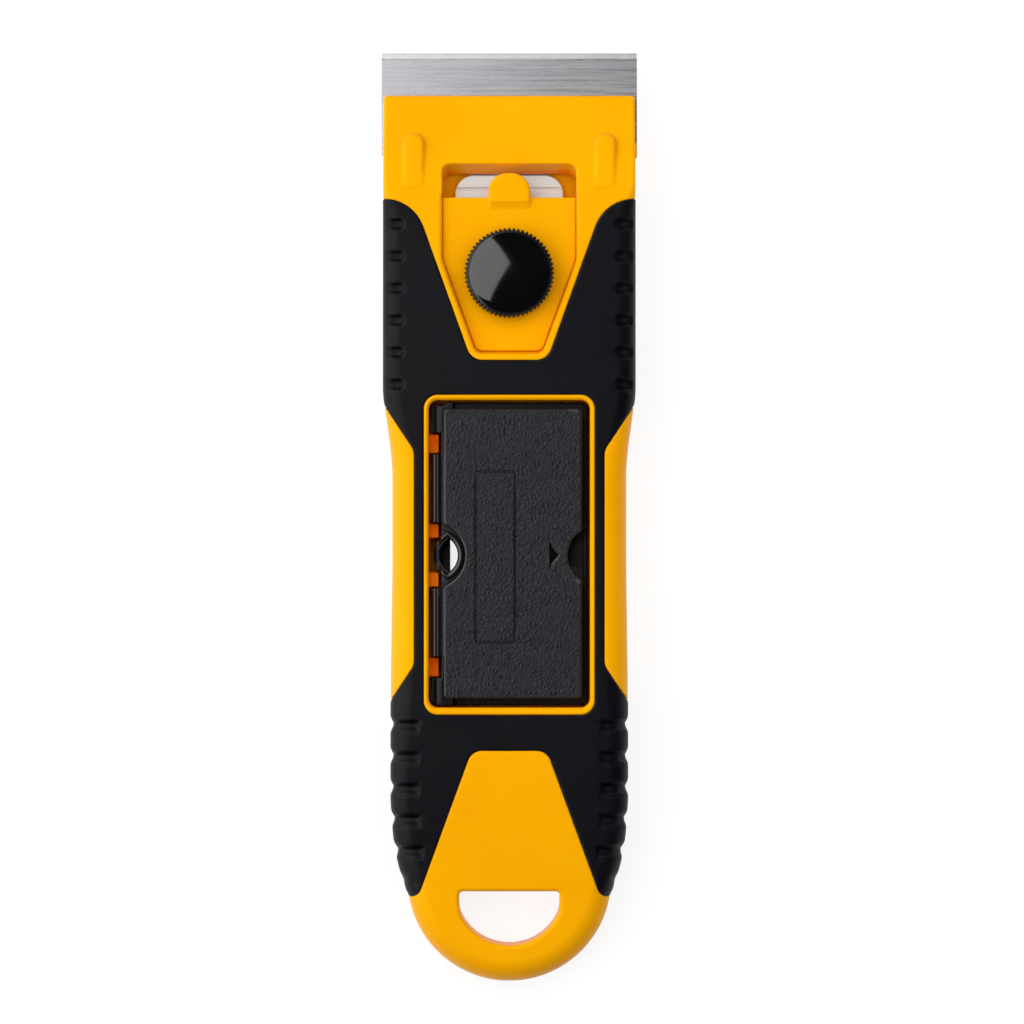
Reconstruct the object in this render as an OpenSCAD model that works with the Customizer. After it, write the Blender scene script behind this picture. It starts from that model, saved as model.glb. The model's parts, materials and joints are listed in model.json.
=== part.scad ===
// Razor blade scraper with a 60 mm blade, a clamping knob and a case of spare blades in its handle.
// It lies on its back: +Y is the blade end, +Z is the face with the knob, and z = 0 is the back.

/* [Blade] */
// Width of the blade
blade_w = 60; // [56:1:66]
// Depth of the blade from one honed edge to the other
blade_d = 24; // [22:0.5:26]
// Thickness of the blade
blade_t = 0.45; // [0.35:0.05:0.6]
// Length of blade that stands out of the jaw
blade_show = 10; // [8:0.5:12]
// Width of the honed bevel
bevel_w = 1.4; // [0.8:0.1:2]
// Diameter of the pegs that hold the blade
peg_d = 3; // [2.5:0.1:4]
// Distance between the two pegs
peg_span = 36; // [30:1:42]

/* [Handle] */
// Length of the handle without the blade
handle_l = 208; // [204:1:225]
// Thickness of the handle round the blade case
grip_t = 16.5; // [16:0.5:19]
// Thickness of the head where its slope starts
crease_t = 14.4; // [14:0.2:15.4]
// Thickness of the head at its front lip
lip_t = 8.8; // [8.2:0.2:10]
// Thickness of the tail
tail_t = 12; // [11:0.5:14]
// Thickness of the back shell, which is also the lower jaw
back_t = 4.4; // [4.2:0.1:4.8]
// Width across the waist beside the blade case
waist_w = 55; // [53:0.5:57]
// Width across the hips behind the blade case
hip_w = 56; // [54:0.5:58]
// Radius of the round tail
tail_r = 24; // [22:0.5:26]
// Thickness of the soft grip over the shells
rubber_t = 2; // [1.4:0.1:2.4]
// Edge radius of the head
head_edge_r = 0.8; // [0.5:0.1:1.2]
// Edge radius of the grip
grip_edge_r = 3.2; // [2.5:0.1:4]
// Edge radius of the tail
tail_edge_r = 4.5; // [3:0.1:5]
// Edge radius of the back
back_edge_r = 2.2; // [1:0.1:3]

/* [Slot and clamp plate] */
// Width of the slot behind the upper jaw
slot_w = 31.4; // [30:0.2:34]
// Length of the slot
slot_l = 7.3; // [6.4:0.1:8]
// Distance from the slot back to the knob
knob_back = 18.1; // [17:0.1:20]
// Distance from the knob back to the end of the yellow panel
vee_back = 20.3; // [19.5:0.1:22]
// Width of the yellow panel at its rear end
vee_w = 17.8; // [16:0.2:20]
// Width of the rim round the clamp plate
rim_w = 2.4; // [1.6:0.1:3]
// Depth of the clamp plate below the head
recess_d = 1.4; // [0.8:0.1:2]
// Thickness of the clamp plate
plate_t = 3; // [2.4:0.1:3.6]
// Width of the tab over the slot
tab_w = 9.8; // [8:0.2:12]
// Diameter of the pin that the clamp plate turns on
pivot_d = 2.5; // [2:0.1:3]

/* [Knob] */
// Outer diameter over the knurl
knob_d = 21; // [18:0.5:24]
// Height of the knob
knob_h = 6.6; // [5.5:0.1:8]
// Number of teeth in the knurl
knurl_count = 60; // [36:2:80]
// Diameter of the threaded stud
stud_d = 4; // [3:0.5:5]
// Thickness of the washer under the knob
washer_t = 0.7; // [0.5:0.1:1]
// Width of the nut across its flats
nut_w = 7; // [6.5:0.1:8]
// Thickness of the nut
nut_t = 3.2; // [2.6:0.1:3.3]

/* [Blade carrier] */
// Thickness of the carrier's sheet steel
carrier_t = 0.8; // [0.6:0.1:1]
// Thickness of the polished slide plate
slide_t = 0.8; // [0.6:0.1:1]
// Width of the polished slide plate
slide_w = 25.4; // [22:0.2:27]
// Width of the carrier's tongue
tongue_w = 18; // [14:0.5:21]

/* [Spare blade case] */
// Length of the bay in the handle
bay_l = 71; // [69:0.5:73]
// Width of the bay
bay_w = 37.6; // [36.6:0.2:38.6]
// Thickness of the raised ring round the bay
ring_t = 1.2; // [0.8:0.1:1.6]
// Thickness of the lid
lid_t = 1.6; // [1.2:0.1:2]
// Depth of the lid below the ring
lid_sink = 1; // [0.5:0.1:1.5]
// Thickness of the case floor
floor_t = 1.2; // [0.8:0.1:2]
// Diameter of the lid's hinge barrels
barrel_d = 2.1; // [1.8:0.1:2.3]
// Length of each hinge barrel
barrel_l = 15.9; // [12:0.1:18]

/* [Fit] */
// Clearance of parts that slide or turn past each other
run_gap = 0.15; // [0.1:0.01:0.2]
// Clearance of parts that move apart by hand
hand_gap = 0.4; // [0.3:0.05:0.5]

/* [Hidden] */
$fn = 48;
over = 1;

yellow = [1, 0.69, 0];
rubber_black = [0.15, 0.15, 0.17];
case_black = [0.2, 0.2, 0.22];
gloss_black = [0.06, 0.06, 0.07];
steel = [0.78, 0.78, 0.8];
zinc = [0.68, 0.69, 0.7];

// Places along the handle, from the blade's edge back to the tail
blade_y = (handle_l + blade_show) / 2;
front_y = blade_y - blade_show;
tail_y = -blade_y;
lip_gap = 0.1;
retract_l = blade_show + lip_gap;
channel_l = blade_d + lip_gap + hand_gap;
grip_y = front_y - channel_l - run_gap;
crease_rise = 3.1;
crease_y = grip_y + crease_rise;
slot_rise = 0.7;
slot_y = grip_y + slot_rise;
slot_front_y = slot_y + slot_l;
knob_y = slot_y - knob_back;
vee_y = knob_y - vee_back;
bridge_l = 8.3;
ring_front_y = vee_y - bridge_l;
ring_end_t = 1.8;
bay_y = ring_front_y - ring_end_t - bay_l / 2;
ring_rear_y = ring_front_y - bay_l - 2 * ring_end_t;
window_y = ring_rear_y - bridge_l;

// The outline of the handle
head_inset = 0.4;
head_w = blade_w - 2 * head_inset;
corner_r = 1;
waist_front_l = 19.8;
waist_rear_l = 2.7;
hip_l = 28;
hip_back = 48.5;
hip_y = tail_y + hip_back;
tail_start_a = 4;
tail_end_a = 82;
tail_steps = 6;
shoulder_share = [[0.33, 0.22], [0.67, 0.57], [0.83, 0.74], [1, 1]];
haunch_share = [[0.29, 0.62], [0.49, 0.83]];
shoulder_y = ring_front_y;
waist_y = bay_y + waist_front_l;
arc_y = tail_y + tail_r * (cos(tail_start_a) - cos(tail_end_a));
arc_w = tail_r * sin(tail_end_a);
width_at = concat(
    [for (i = [0 : tail_steps])
        let (a = tail_start_a + (tail_end_a - tail_start_a) * i / tail_steps)
        [tail_y + tail_r * (cos(tail_start_a) - cos(a)), tail_r * sin(a)]],
    [for (s = haunch_share) [arc_y + s[0] * (hip_y - arc_y), arc_w + s[1] * (hip_w / 2 - arc_w)]],
    [[hip_y, hip_w / 2], [bay_y - hip_l, hip_w / 2], [bay_y - waist_rear_l, waist_w / 2],
     [waist_y, waist_w / 2]],
    [for (s = shoulder_share)
        [waist_y + s[0] * (shoulder_y - waist_y), waist_w / 2 + s[1] * (head_w - waist_w) / 2]],
    [[crease_y, head_w / 2], [front_y - corner_r, head_w / 2],
     [front_y - corner_r * (1 - sin(45)), head_w / 2 - corner_r * (1 - sin(45))],
     [front_y, head_w / 2 - corner_r]]
);

// The side profile of the handle
tail_rise_share = 0.2;
hip_rise_share = 0.8;
lip_under = 2.2;
top_at = [
    [tail_y, tail_t], [arc_y, tail_t + tail_rise_share * (grip_t - tail_t)],
    [hip_y, tail_t + hip_rise_share * (grip_t - tail_t)], [ring_rear_y, grip_t],
    [shoulder_y, grip_t], [crease_y, crease_t], [front_y, lip_t]
];
under_at = [[crease_y, 0], [front_y, lip_under]];
edge_at = [
    [tail_y, tail_edge_r], [hip_y, grip_edge_r], [grip_y, grip_edge_r], [crease_y, head_edge_r]
];
end_r = 5;
round_share = 0.8;
bend_share = 1 - sin(45);
section_points = 10;

body_ys = concat(
    [for (p = width_at) if (p[0] < hip_y) p[0]],
    [hip_y, ring_rear_y, bay_y - hip_l, bay_y - waist_rear_l, waist_y],
    [for (s = shoulder_share) waist_y + s[0] * (shoulder_y - waist_y)],
    [grip_y, crease_y],
    [for (p = width_at) if (p[0] > crease_y) p[0]]
);
core_ys = [for (y = body_ys) if (y > tail_y + end_r && y < front_y - 2 * corner_r) y];

// Heights in the head and in the handle
channel_top = back_t + 2 * run_gap + carrier_t + blade_t;
slide_z = back_t + run_gap + carrier_t;
slide_top = slide_z + slide_t;
tunnel_top = slide_top + 2 * run_gap;
plate_top = crease_t - recess_d;
clamp_gap = 0.1;
washer_z = plate_top + clamp_gap;
knob_z = washer_z + washer_t + clamp_gap;
nut_z = back_t - run_gap - nut_t;
lid_top = grip_t - lid_sink;
lid_z = lid_top - lid_t;
case_z = back_t + clamp_gap;
case_top = lid_z - run_gap;
case_floor = case_z + floor_t;

// The clamp plate and its pin
pivot_in = 4.7;
pivot_roof = 2.25;
pivot_z = plate_top - pivot_roof - pivot_d / 2;
plate_gap = 0.3;
plate_end_gap = 0.5;
knuckle_l = 5;
knuckle_under = 2.5;
pivot_hold = 3.2;
foot_w = 15;
foot_l = 13;
stud_play = 0.7;
slide_rear_l = 4;
stud_tip = 1.2;
stud_top_share = 0.62;
washer_share = 0.8;
tooth_d = 0.5;
cap_in = 1.2;
knurl_share = 0.58;
arch_r = 4.2;
tab_back = 3.9;
tab_rise = 0.8;
scoop_d = 4;
scoop_dip = 0.7;
scoop_back = 2.4;

// The grip's outline and grooves
vee_slope = 0.359;
shoulder_r = 9.75;
vee_r = 3.7;
plate_r = 2;
tip_back = 0.5;
tip_y = arc_y - tip_back;
tail_slope = 0.365;
tail_window_w = 17.6;
window_r = 3.5;
tip_r = 2.5;
ring_r = 3.3;
strip_w = 2.2;
side_window_front = 24.5;
side_window_rear = 25.7;
side_slope = 1.5;
side_r = 4;
upper_groove_count = 6;
upper_groove_in = 4.7;
groove_pitch = 7.5;
groove_w = 2.2;
groove_d = 0.8;
upper_groove_l = 5.1;
lower_groove_count = 5;
lower_groove_in = 2.4;
lower_groove_l = 6.7;
notch_w = 1.6;

// The head's ribs, its side nub and the hang hole
rib_w = 5;
rib_l = 12.2;
rib_x_share = 0.75;
rib_rise = 1.6;
rib_root = 1;
slot_lean = 1.9;
nub_l = 3.6;
nub_from_front = 11.3;
nub_h = 3;
hole_w = 23.6;
hole_back = 21.4;
hole_l = 12.7;
hole_r = 12.5;
hole_corner_r = 1;

// The screws and the pockets that core out the tail
screw_d = 3;
screw_head_d = 5.6;
screw_head_h = 1.7;
screw_l = 9.5;
screw_dip = 0.3;
cross_w = 0.8;
cross_l = 3.2;
front_screw_back = 16;
rear_screw_in = 7;
rear_screw_back = 12;
pocket_w = 8;
pocket_l = 22;
pocket_rib = 2;
pocket_in = 3;
pocket_roof = 3;

// The blade case
case_wall = 2.8;
case_r = 1.8;
lid_left_over = 1;
lid_in = 1.1;
lid_front_in = 0.8;
lid_rear_in = 1.6;
lid_r = 1.2;
barrel_z = lid_z + lid_t / 2;
barrel_off = 15.65;
web_t = 0.9;
lug_l = 4.7;
cradle_h = 3.4;
eye_w = 4.5;
eye_r = 4.68;
eye_wall = 1.25;
eye_in = 1.6;
eye_rise = 0.9;
lid_eye_r = 7.6;
thumb_r = 4;
arrow_w = 1.8;
arrow_l = 4.6;
arrow_in = 8.2;
arrow_d = 0.3;
spare_gap = 0.6;
back_window_w = 27.8;
back_window_l = 44;
back_window_r = 3;

// Places and widths that follow from the sizes above
wide = max(blade_w, waist_w, hip_w) / 2 + over;
ring_w = bay_w + 2 * ring_t;
vee_top_w = vee_w / 2 + vee_slope * (grip_y - vee_y);
tail_tip_w = tail_window_w / 2 + tail_slope * (window_y - tip_y);
side_window_x = ring_w / 2 + strip_w;
slide_front_y = slot_front_y - slot_lean - run_gap;
slide_rear_y = knob_y - stud_d / 2 - slide_rear_l;
pivot_y = vee_y + pivot_in;
pivot_half = vee_w / 2 - rim_w + pivot_hold + vee_slope * pivot_in;
bar_in = 3;
bar_front_in = 2;
peg_y = front_y - blade_show / 2 - peg_d;
case_front_y = bay_y + bay_l / 2 - hand_gap;
case_rear_y = bay_y - bay_l / 2 + hand_gap;
case_right = bay_w / 2 - hand_gap;
lug_left = 2 * run_gap + hand_gap - bay_w / 2;
case_left = lug_left + barrel_d + clamp_gap;
barrel_x = case_left - barrel_d / 2;
eye_x = case_left + eye_in;
spare_x = case_right - case_wall - spare_gap - blade_d / 2;

function unit(v) = v / norm(v);

// A corner at p between its neighbours a and b, rounded with radius r by n straight steps
function corner_arc(a, p, b, r, n) =
    r == 0 ? [p] :
    let (
        u = unit(a - p),
        v = unit(b - p),
        half = acos(u * v) / 2,
        c = p + unit(u + v) * r / sin(half),
        s = p + u * r / tan(half) - c,
        e = p + v * r / tan(half) - c,
        from = atan2(s[1], s[0]),
        turn = (atan2(e[1], e[0]) - from + 540) % 360 - 180
    )
    [for (i = [0 : n]) c + r * [cos(from + turn * i / n), sin(from + turn * i / n)]];

function rounded(pts, rs, n = 5) =
    [for (i = [0 : len(pts) - 1])
        each corner_arc(pts[(i + len(pts) - 1) % len(pts)], pts[i], pts[(i + 1) % len(pts)], rs[i], n)];

// A half outline from front to rear, closed by its mirror image
function both_sides(half) =
    concat(half, [for (i = [len(half) - 1 : -1 : 0]) [-half[i][0], half[i][1]]]);

function both_radii(rs) = concat(rs, [for (i = [len(rs) - 1 : -1 : 0]) rs[i]]);

// One cross-section of the handle at y, drawn in by t on every side
function end_drop(y, r) =
    y - tail_y < r ? r - sqrt(r * r - pow(r - (y - tail_y), 2)) : 0;

function section(y, t) =
    let (
        w = lookup(y, width_at) - t,
        top = lookup(y, top_at) - end_drop(y, end_r) - t,
        under = lookup(y, under_at) + end_drop(y, back_edge_r) + t,
        r = min(max(lookup(y, edge_at) - t, head_edge_r), w * round_share),
        q = min(max(back_edge_r * min(1, (front_y - y) / crease_rise) - t, head_edge_r), w * round_share)
    )
    [[w - q, under], [w, under + q], [w, top - r], [w - r * bend_share, top - r * bend_share],
     [w - r, top], [r - w, top], [r * bend_share - w, top - r * bend_share], [-w, top - r],
     [-w, under + q], [q - w, under]];

// The handle's body through its cross-sections at the places ys
module body_loft(ys, t) {
    n = section_points;
    last = (len(ys) - 1) * n;
    polyhedron(
        points = [for (y = ys) for (p = section(y, t)) [p[0], y, p[1]]],
        faces = concat(
            [[for (j = [n - 1 : -1 : 0]) j], [for (j = [0 : n - 1]) last + j]],
            [for (i = [0 : len(ys) - 2]) for (j = [0 : n - 1])
                [i * n + j, i * n + (j + 1) % n, (i + 1) * n + (j + 1) % n]],
            [for (i = [0 : len(ys) - 2]) for (j = [0 : n - 1])
                [i * n + j, (i + 1) * n + (j + 1) % n, (i + 1) * n + j]]
        )
    );
}

module block(x0, x1, y0, y1, z0, z1) {
    translate([x0, y0, z0])
        cube([x1 - x0, y1 - y0, z1 - z0]);
}

// A prism of a polygon between two heights
module plate(pts, z0, z1) {
    translate([0, 0, z0])
        linear_extrude(height = z1 - z0)
            polygon(pts);
}

function box_points(w, l, x, y, r) =
    rounded(
        [[x - w / 2, y - l / 2], [x + w / 2, y - l / 2], [x + w / 2, y + l / 2], [x - w / 2, y + l / 2]],
        [r, r, r, r]
    );

// A side profile of y and z points, extruded across from x0 to x1
module across(pts, x0, x1) {
    translate([x0, 0, 0])
        rotate([90, 0, 90])
            linear_extrude(height = x1 - x0)
                polygon(pts);
}

module tube_along_x(x0, x1, y, z, d) {
    translate([x0, y, z])
        rotate([0, 90, 0])
            cylinder(d = d, h = x1 - x0);
}

module tube_along_y(y0, y1, x, z, d) {
    translate([x, y0, z])
        rotate([-90, 0, 0])
            cylinder(d = d, h = y1 - y0);
}

head_yellow = rounded(
    both_sides([[wide, front_y + over], [wide, grip_y], [vee_top_w, grip_y], [vee_w / 2, vee_y]]),
    both_radii([0, 0, shoulder_r, vee_r])
);
tail_yellow = rounded(
    both_sides([[tail_window_w / 2, window_y], [tail_tip_w, tip_y], [wide, tip_y], [wide, tail_y - over]]),
    both_radii([window_r, tip_r, 0, 0])
);
side_yellow = rounded(
    [[side_window_x, bay_y + side_window_front],
     [wide, bay_y + side_window_front + side_slope * (wide - side_window_x)],
     [wide, bay_y - side_window_rear - side_slope * (wide - side_window_x)],
     [side_window_x, bay_y - side_window_rear]],
    [side_r, 0, 0, side_r]
);

// Everything that the soft grip leaves bare, seen from above
module bare_prisms(z0, z1) {
    plate(head_yellow, z0, z1);
    plate(tail_yellow, z0, z1);
    plate(side_yellow, z0, z1);
    mirror([1, 0, 0])
        plate(side_yellow, z0, z1);
    plate(box_points(ring_w, ring_front_y - ring_rear_y, 0, bay_y, ring_r), z0, z1);
}

// The hard body of both shells together, sunk where the soft grip lies
module hard_body(z0, z1) {
    union() {
        intersection() {
            body_loft(body_ys, 0);
            union() {
                bare_prisms(z0, z1);
            }
        }
        difference() {
            body_loft(core_ys, rubber_t);
            block(-wide, wide, tail_y, front_y, z0 - grip_t, z0);
            block(-wide, wide, tail_y, front_y, z1, z1 + grip_t);
        }
    }
}

// The clamp plate's outline, drawn in by t from the well that it lies in
function plate_outline(t, end_t) =
    let (
        in_w = vee_w / 2 - rim_w * sqrt(1 + vee_slope * vee_slope) + vee_slope * rim_w,
        side_w = slot_w / 2 - t,
        rear_y = vee_y + rim_w,
        bend_y = rear_y + (slot_w / 2 - in_w) / vee_slope
    )
    rounded(
        both_sides([[side_w, slot_y - t], [side_w, bend_y], [in_w - t, rear_y + end_t]]),
        both_radii([0, 0, plate_r])
    );

module hang_hole() {
    y = tail_y + hole_back;
    c = y - hole_l + hole_r;
    intersection() {
        plate(box_points(hole_w, 2 * hole_l, 0, y - hole_l, hole_corner_r), -over, grip_t);
        translate([0, c, -over])
            cylinder(r = hole_r, h = grip_t + over);
        block(-hole_w, hole_w, y - hole_l - over, y, -over, grip_t);
    }
}

module at_screws() {
    y = grip_y - front_screw_back;
    x = (head_w / 2 + vee_w / 2 + vee_slope * (y - vee_y)) / 2;
    for (side = [-1, 1]) {
        translate([side * x, y, 0])
            children();
        translate([side * (hip_w / 2 - rear_screw_in), ring_rear_y - rear_screw_back, 0])
            children();
    }
}

function lower_groove_y(i) = ring_rear_y - lower_groove_in - i * groove_pitch;

// A notch in the edge of the grip
module notch_cut(side, y, z0, z1) {
    w = lookup(y, width_at);
    block(side > 0 ? w - groove_d : -wide, side > 0 ? wide : groove_d - w,
          y - notch_w / 2, y + notch_w / 2, z0, z1);
}

// A cut along the top surface, from the sides inward, for one groove of the grip
module groove_cut(side, y, in_l, notch) {
    w = lookup(y, width_at);
    z = lookup(y, top_at) - groove_d;
    inner = w - in_l + groove_w / 2;
    translate([side * inner, y, z])
        cylinder(d = groove_w, h = grip_t);
    block(side > 0 ? inner : -wide, side > 0 ? wide : -inner,
          y - groove_w / 2, y + groove_w / 2, z, z + grip_t);
    if (notch)
        notch_cut(side, y, -over, grip_t + over);
}

module upper_grooves() {
    for (i = [0 : upper_groove_count - 1])
        for (side = [-1, 1])
            groove_cut(side, grip_y - upper_groove_in - i * groove_pitch, upper_groove_l, false);
}

module lower_grooves() {
    for (i = [0 : lower_groove_count - 1])
        for (side = [-1, 1])
            groove_cut(side, lower_groove_y(i), lower_groove_l, true);
}

module rib(x) {
    intersection() {
        plate(
            box_points(rib_w, 2 * rib_l, x, crease_y, rib_w / 2 * round_share),
            channel_top + rib_root, crease_t
        );
        across(
            [[crease_y - corner_r, channel_top], [crease_y + rib_l, channel_top],
             [crease_y + rib_l, lookup(crease_y + rib_l, top_at) + rib_rise], [crease_y, crease_t],
             [crease_y - corner_r, crease_t]],
            x - rib_w, x + rib_w
        );
    }
}

module handle_front_shell() {
    color(yellow)
    difference() {
        union() {
            hard_body(back_t, grip_t + over);
            rib(-rib_x_share * head_w / 2);
            rib(rib_x_share * head_w / 2);
            block(head_w / 2 - corner_r, blade_w / 2, front_y - nub_from_front - nub_l,
                  front_y - nub_from_front, channel_top, channel_top + nub_h);
        }
        plate(box_points(bay_w, bay_l, 0, bay_y, ring_r - ring_t), -over, grip_t + over);
        plate(plate_outline(0, 0), -over, grip_t + over);
        across(
            [[slot_y - plate_r, -over], [slot_front_y - slot_lean, -over],
             [slot_front_y - slot_lean, channel_top], [slot_front_y, lookup(slot_front_y, top_at)],
             [slot_front_y, grip_t + over], [slot_y - plate_r, grip_t + over]],
            -slot_w / 2, slot_w / 2
        );
        block(-wide, wide, front_y - channel_l, front_y + over, -over, channel_top);
        block(-slide_w / 2 - plate_gap, slide_w / 2 + plate_gap, slide_rear_y - retract_l - hand_gap,
              slot_front_y, -over, tunnel_top);
        tube_along_x(-pivot_half, pivot_half, pivot_y, pivot_z, pivot_d);
        hang_hole();
        at_screws()
            cylinder(d = screw_d, h = screw_dip + screw_l + hand_gap);
        for (side = [-1, 1])
            translate([side * (pocket_w + pocket_rib) / 2, window_y - pocket_in - pocket_l / 2, 0])
                plate(box_points(pocket_w, pocket_l, 0, 0, corner_r), -over,
                      lookup(hip_y - pocket_l / 2, top_at) - pocket_roof);
    }
}

module handle_back_shell() {
    color(yellow)
    difference() {
        hard_body(-over, back_t);
        plate(box_points(back_window_w, back_window_l, 0, bay_y, back_window_r), -over, back_t + over);
        translate([0, knob_y, nut_z - clamp_gap])
            cylinder(d = nut_w / cos(30) + clamp_gap, h = back_t, $fn = 6);
        hang_hole();
        at_screws() {
            translate([0, 0, -over])
                cylinder(d = screw_d, h = back_t + 2 * over);
            translate([0, 0, -over])
                cylinder(d = screw_head_d + run_gap, h = over + screw_dip + screw_head_h);
        }
    }
}

module grip_front() {
    color(rubber_black)
    difference() {
        body_loft(core_ys, 0);
        bare_prisms(-over, grip_t + over);
        block(-wide, wide, tail_y, front_y, -over, back_t);
        body_loft(core_ys, rubber_t);
        upper_grooves();
        lower_grooves();
    }
}

module grip_back() {
    color(rubber_black)
    difference() {
        body_loft(core_ys, 0);
        bare_prisms(-over, grip_t + over);
        block(-wide, wide, tail_y, front_y, back_t, grip_t + over);
        body_loft(core_ys, rubber_t);
        at_screws()
            translate([0, 0, -over])
                cylinder(d = screw_head_d + hand_gap, h = back_t);
        for (i = [0 : lower_groove_count - 1])
            for (side = [-1, 1])
                notch_cut(side, lower_groove_y(i), -over, back_t + over);
    }
}

module shell_screws() {
    color(zinc)
    at_screws()
        difference() {
            translate([0, 0, screw_dip])
                union() {
                    cylinder(d = screw_head_d, h = screw_head_h);
                    cylinder(d = screw_d, h = screw_l);
                }
            block(-cross_l / 2, cross_l / 2, -cross_w / 2, cross_w / 2, 0, screw_dip + cross_w);
            block(-cross_w / 2, cross_w / 2, -cross_l / 2, cross_l / 2, 0, screw_dip + cross_w);
        }
}

module clamp_nut() {
    color(zinc)
    translate([0, knob_y, nut_z])
        difference() {
            cylinder(d = nut_w / cos(30), h = nut_t, $fn = 6);
            translate([0, 0, -over])
                cylinder(d = stud_d + clamp_gap, h = nut_t + 2 * over);
        }
}

module clamp_pivot_pin() {
    color(steel)
    tube_along_x(-pivot_half, pivot_half, pivot_y, pivot_z, pivot_d);
}

module clamp_plate() {
    tab_y = slot_front_y - slot_lean;
    knuckle_w = vee_w / 2 - rim_w - plate_gap;
    knuckle_y = pivot_y - pivot_in + rim_w + plate_end_gap;
    scoop_z = plate_top + tab_rise + scoop_d / 2 - scoop_dip;
    color(yellow)
    difference() {
        union() {
            plate(plate_outline(plate_gap, plate_end_gap), plate_top - plate_t, plate_top);
            plate(
                rounded(both_sides([[tab_w / 2, tab_y], [tab_w / 2, slot_y - tab_back]]),
                        both_radii([tab_w / 2 * round_share, 0])),
                plate_top - plate_t + tab_rise, plate_top + tab_rise
            );
            block(-knuckle_w, knuckle_w, knuckle_y, pivot_y + knuckle_l / 2,
                  pivot_z - knuckle_under, plate_top - plate_t / 2);
            block(-foot_w / 2, foot_w / 2, knob_y - foot_l / 2, knob_y + foot_l / 2,
                  slide_top + clamp_gap, plate_top - plate_t / 2);
        }
        translate([0, knob_y, slide_z])
            cylinder(d = stud_d + 2 * stud_play, h = plate_top);
        tube_along_x(-slot_w, slot_w, pivot_y, pivot_z, pivot_d + clamp_gap);
        tube_along_x(-tab_w, tab_w, slot_y - scoop_back, scoop_z, scoop_d);
    }
}

// A slot round the stud that lets the sheet slide back by the retracting length
module stud_slot(z0, z1) {
    w = stud_d + 2 * hand_gap;
    plate(
        box_points(w, retract_l + w, 0, knob_y + retract_l / 2, w / 2 * round_share),
        z0, z1
    );
}

module blade_carrier() {
    z0 = back_t + run_gap;
    rear_y = blade_y - blade_d;
    color(zinc)
    difference() {
        plate(
            rounded(
                both_sides([[head_w / 2 - bar_in, front_y - bar_front_in], [head_w / 2 - bar_in, rear_y],
                            [tongue_w / 2, rear_y], [tongue_w / 2, slide_rear_y]]),
                both_radii([corner_r, corner_r, corner_r, corner_r])
            ),
            z0, z0 + carrier_t
        );
        stud_slot(z0 - over, z0 + carrier_t + over);
        for (side = [-1, 1])
            translate([side * peg_span / 2, peg_y, z0 - over])
                cylinder(d = peg_d, h = carrier_t + 2 * over);
    }
}

module slide_plate() {
    bead_y = slide_front_y - arch_r + corner_r;
    color(steel)
    difference() {
        plate(
            rounded(both_sides([[slide_w / 2, slide_front_y], [slide_w / 2, slide_rear_y]]),
                    both_radii([arch_r, corner_r])),
            slide_z, slide_top
        );
        stud_slot(slide_z - over, slide_top + over);
        block(-slide_w, slide_w, bead_y - run_gap, bead_y + run_gap, slide_top - run_gap, slide_top + over);
    }
}

module carrier_pegs() {
    z0 = back_t + run_gap;
    color(steel)
    for (side = [-1, 1])
        translate([side * peg_span / 2, peg_y, z0])
            cylinder(d = peg_d, h = carrier_t + blade_t + run_gap / 2);
}

// A blade honed on both long edges, lying flat with its middle at the origin and its width along x
module blade() {
    face_w = blade_d - 2 * bevel_w;
    difference() {
        across(
            [[-blade_d / 2, blade_t / 2], [-face_w / 2, 0], [face_w / 2, 0],
             [blade_d / 2, blade_t / 2], [face_w / 2, blade_t], [-face_w / 2, blade_t]],
            -blade_w / 2, blade_w / 2
        );
        for (side = [-1, 1])
            translate([side * peg_span / 2, peg_y - blade_y + blade_d / 2, -over])
                cylinder(d = peg_d + clamp_gap, h = blade_t + 2 * over);
    }
}

module scraper_blade() {
    color(steel)
    translate([0, blade_y - blade_d / 2, slide_z])
        blade();
}

module thrust_washer() {
    color(zinc)
    translate([0, knob_y, washer_z])
        difference() {
            cylinder(d = knob_d * washer_share, h = washer_t);
            translate([0, 0, -over])
                cylinder(d = stud_d + clamp_gap, h = washer_t + 2 * over);
        }
}

module knob() {
    cap_r = knob_d / 2 - cap_in;
    ring_h = knob_h * knurl_share;
    color(gloss_black)
    translate([0, knob_y, knob_z])
        difference() {
            union() {
                linear_extrude(height = ring_h)
                    polygon([for (i = [0 : 4 * knurl_count - 1])
                        let (a = 90 * i / knurl_count, r = knob_d / 2 - (i % 4 < 2 ? 0 : tooth_d))
                        [r * cos(a), r * sin(a)]]);
                rotate_extrude()
                    polygon(concat(
                        [[0, ring_h / 2], [cap_r, ring_h / 2]],
                        [for (i = [0 : 8])
                            [cap_r * cos(90 * i / 8), ring_h + (knob_h - ring_h) * sin(90 * i / 8)]]
                    ));
            }
            translate([0, 0, -over])
                cylinder(d = stud_d, h = over + knob_h * stud_top_share);
        }
}

module knob_stud() {
    color(zinc)
    translate([0, knob_y, stud_tip])
        cylinder(d = stud_d, h = knob_z + knob_h * stud_top_share - stud_tip);
}

// The lens of two circles that the see-through hole and its wall have
module eye(t, z0, z1) {
    off = eye_r - eye_w / 2;
    intersection() {
        translate([eye_x - off, bay_y, z0])
            cylinder(r = eye_r + t, h = z1 - z0);
        translate([eye_x + off, bay_y, z0])
            cylinder(r = eye_r + t, h = z1 - z0);
    }
}

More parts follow.
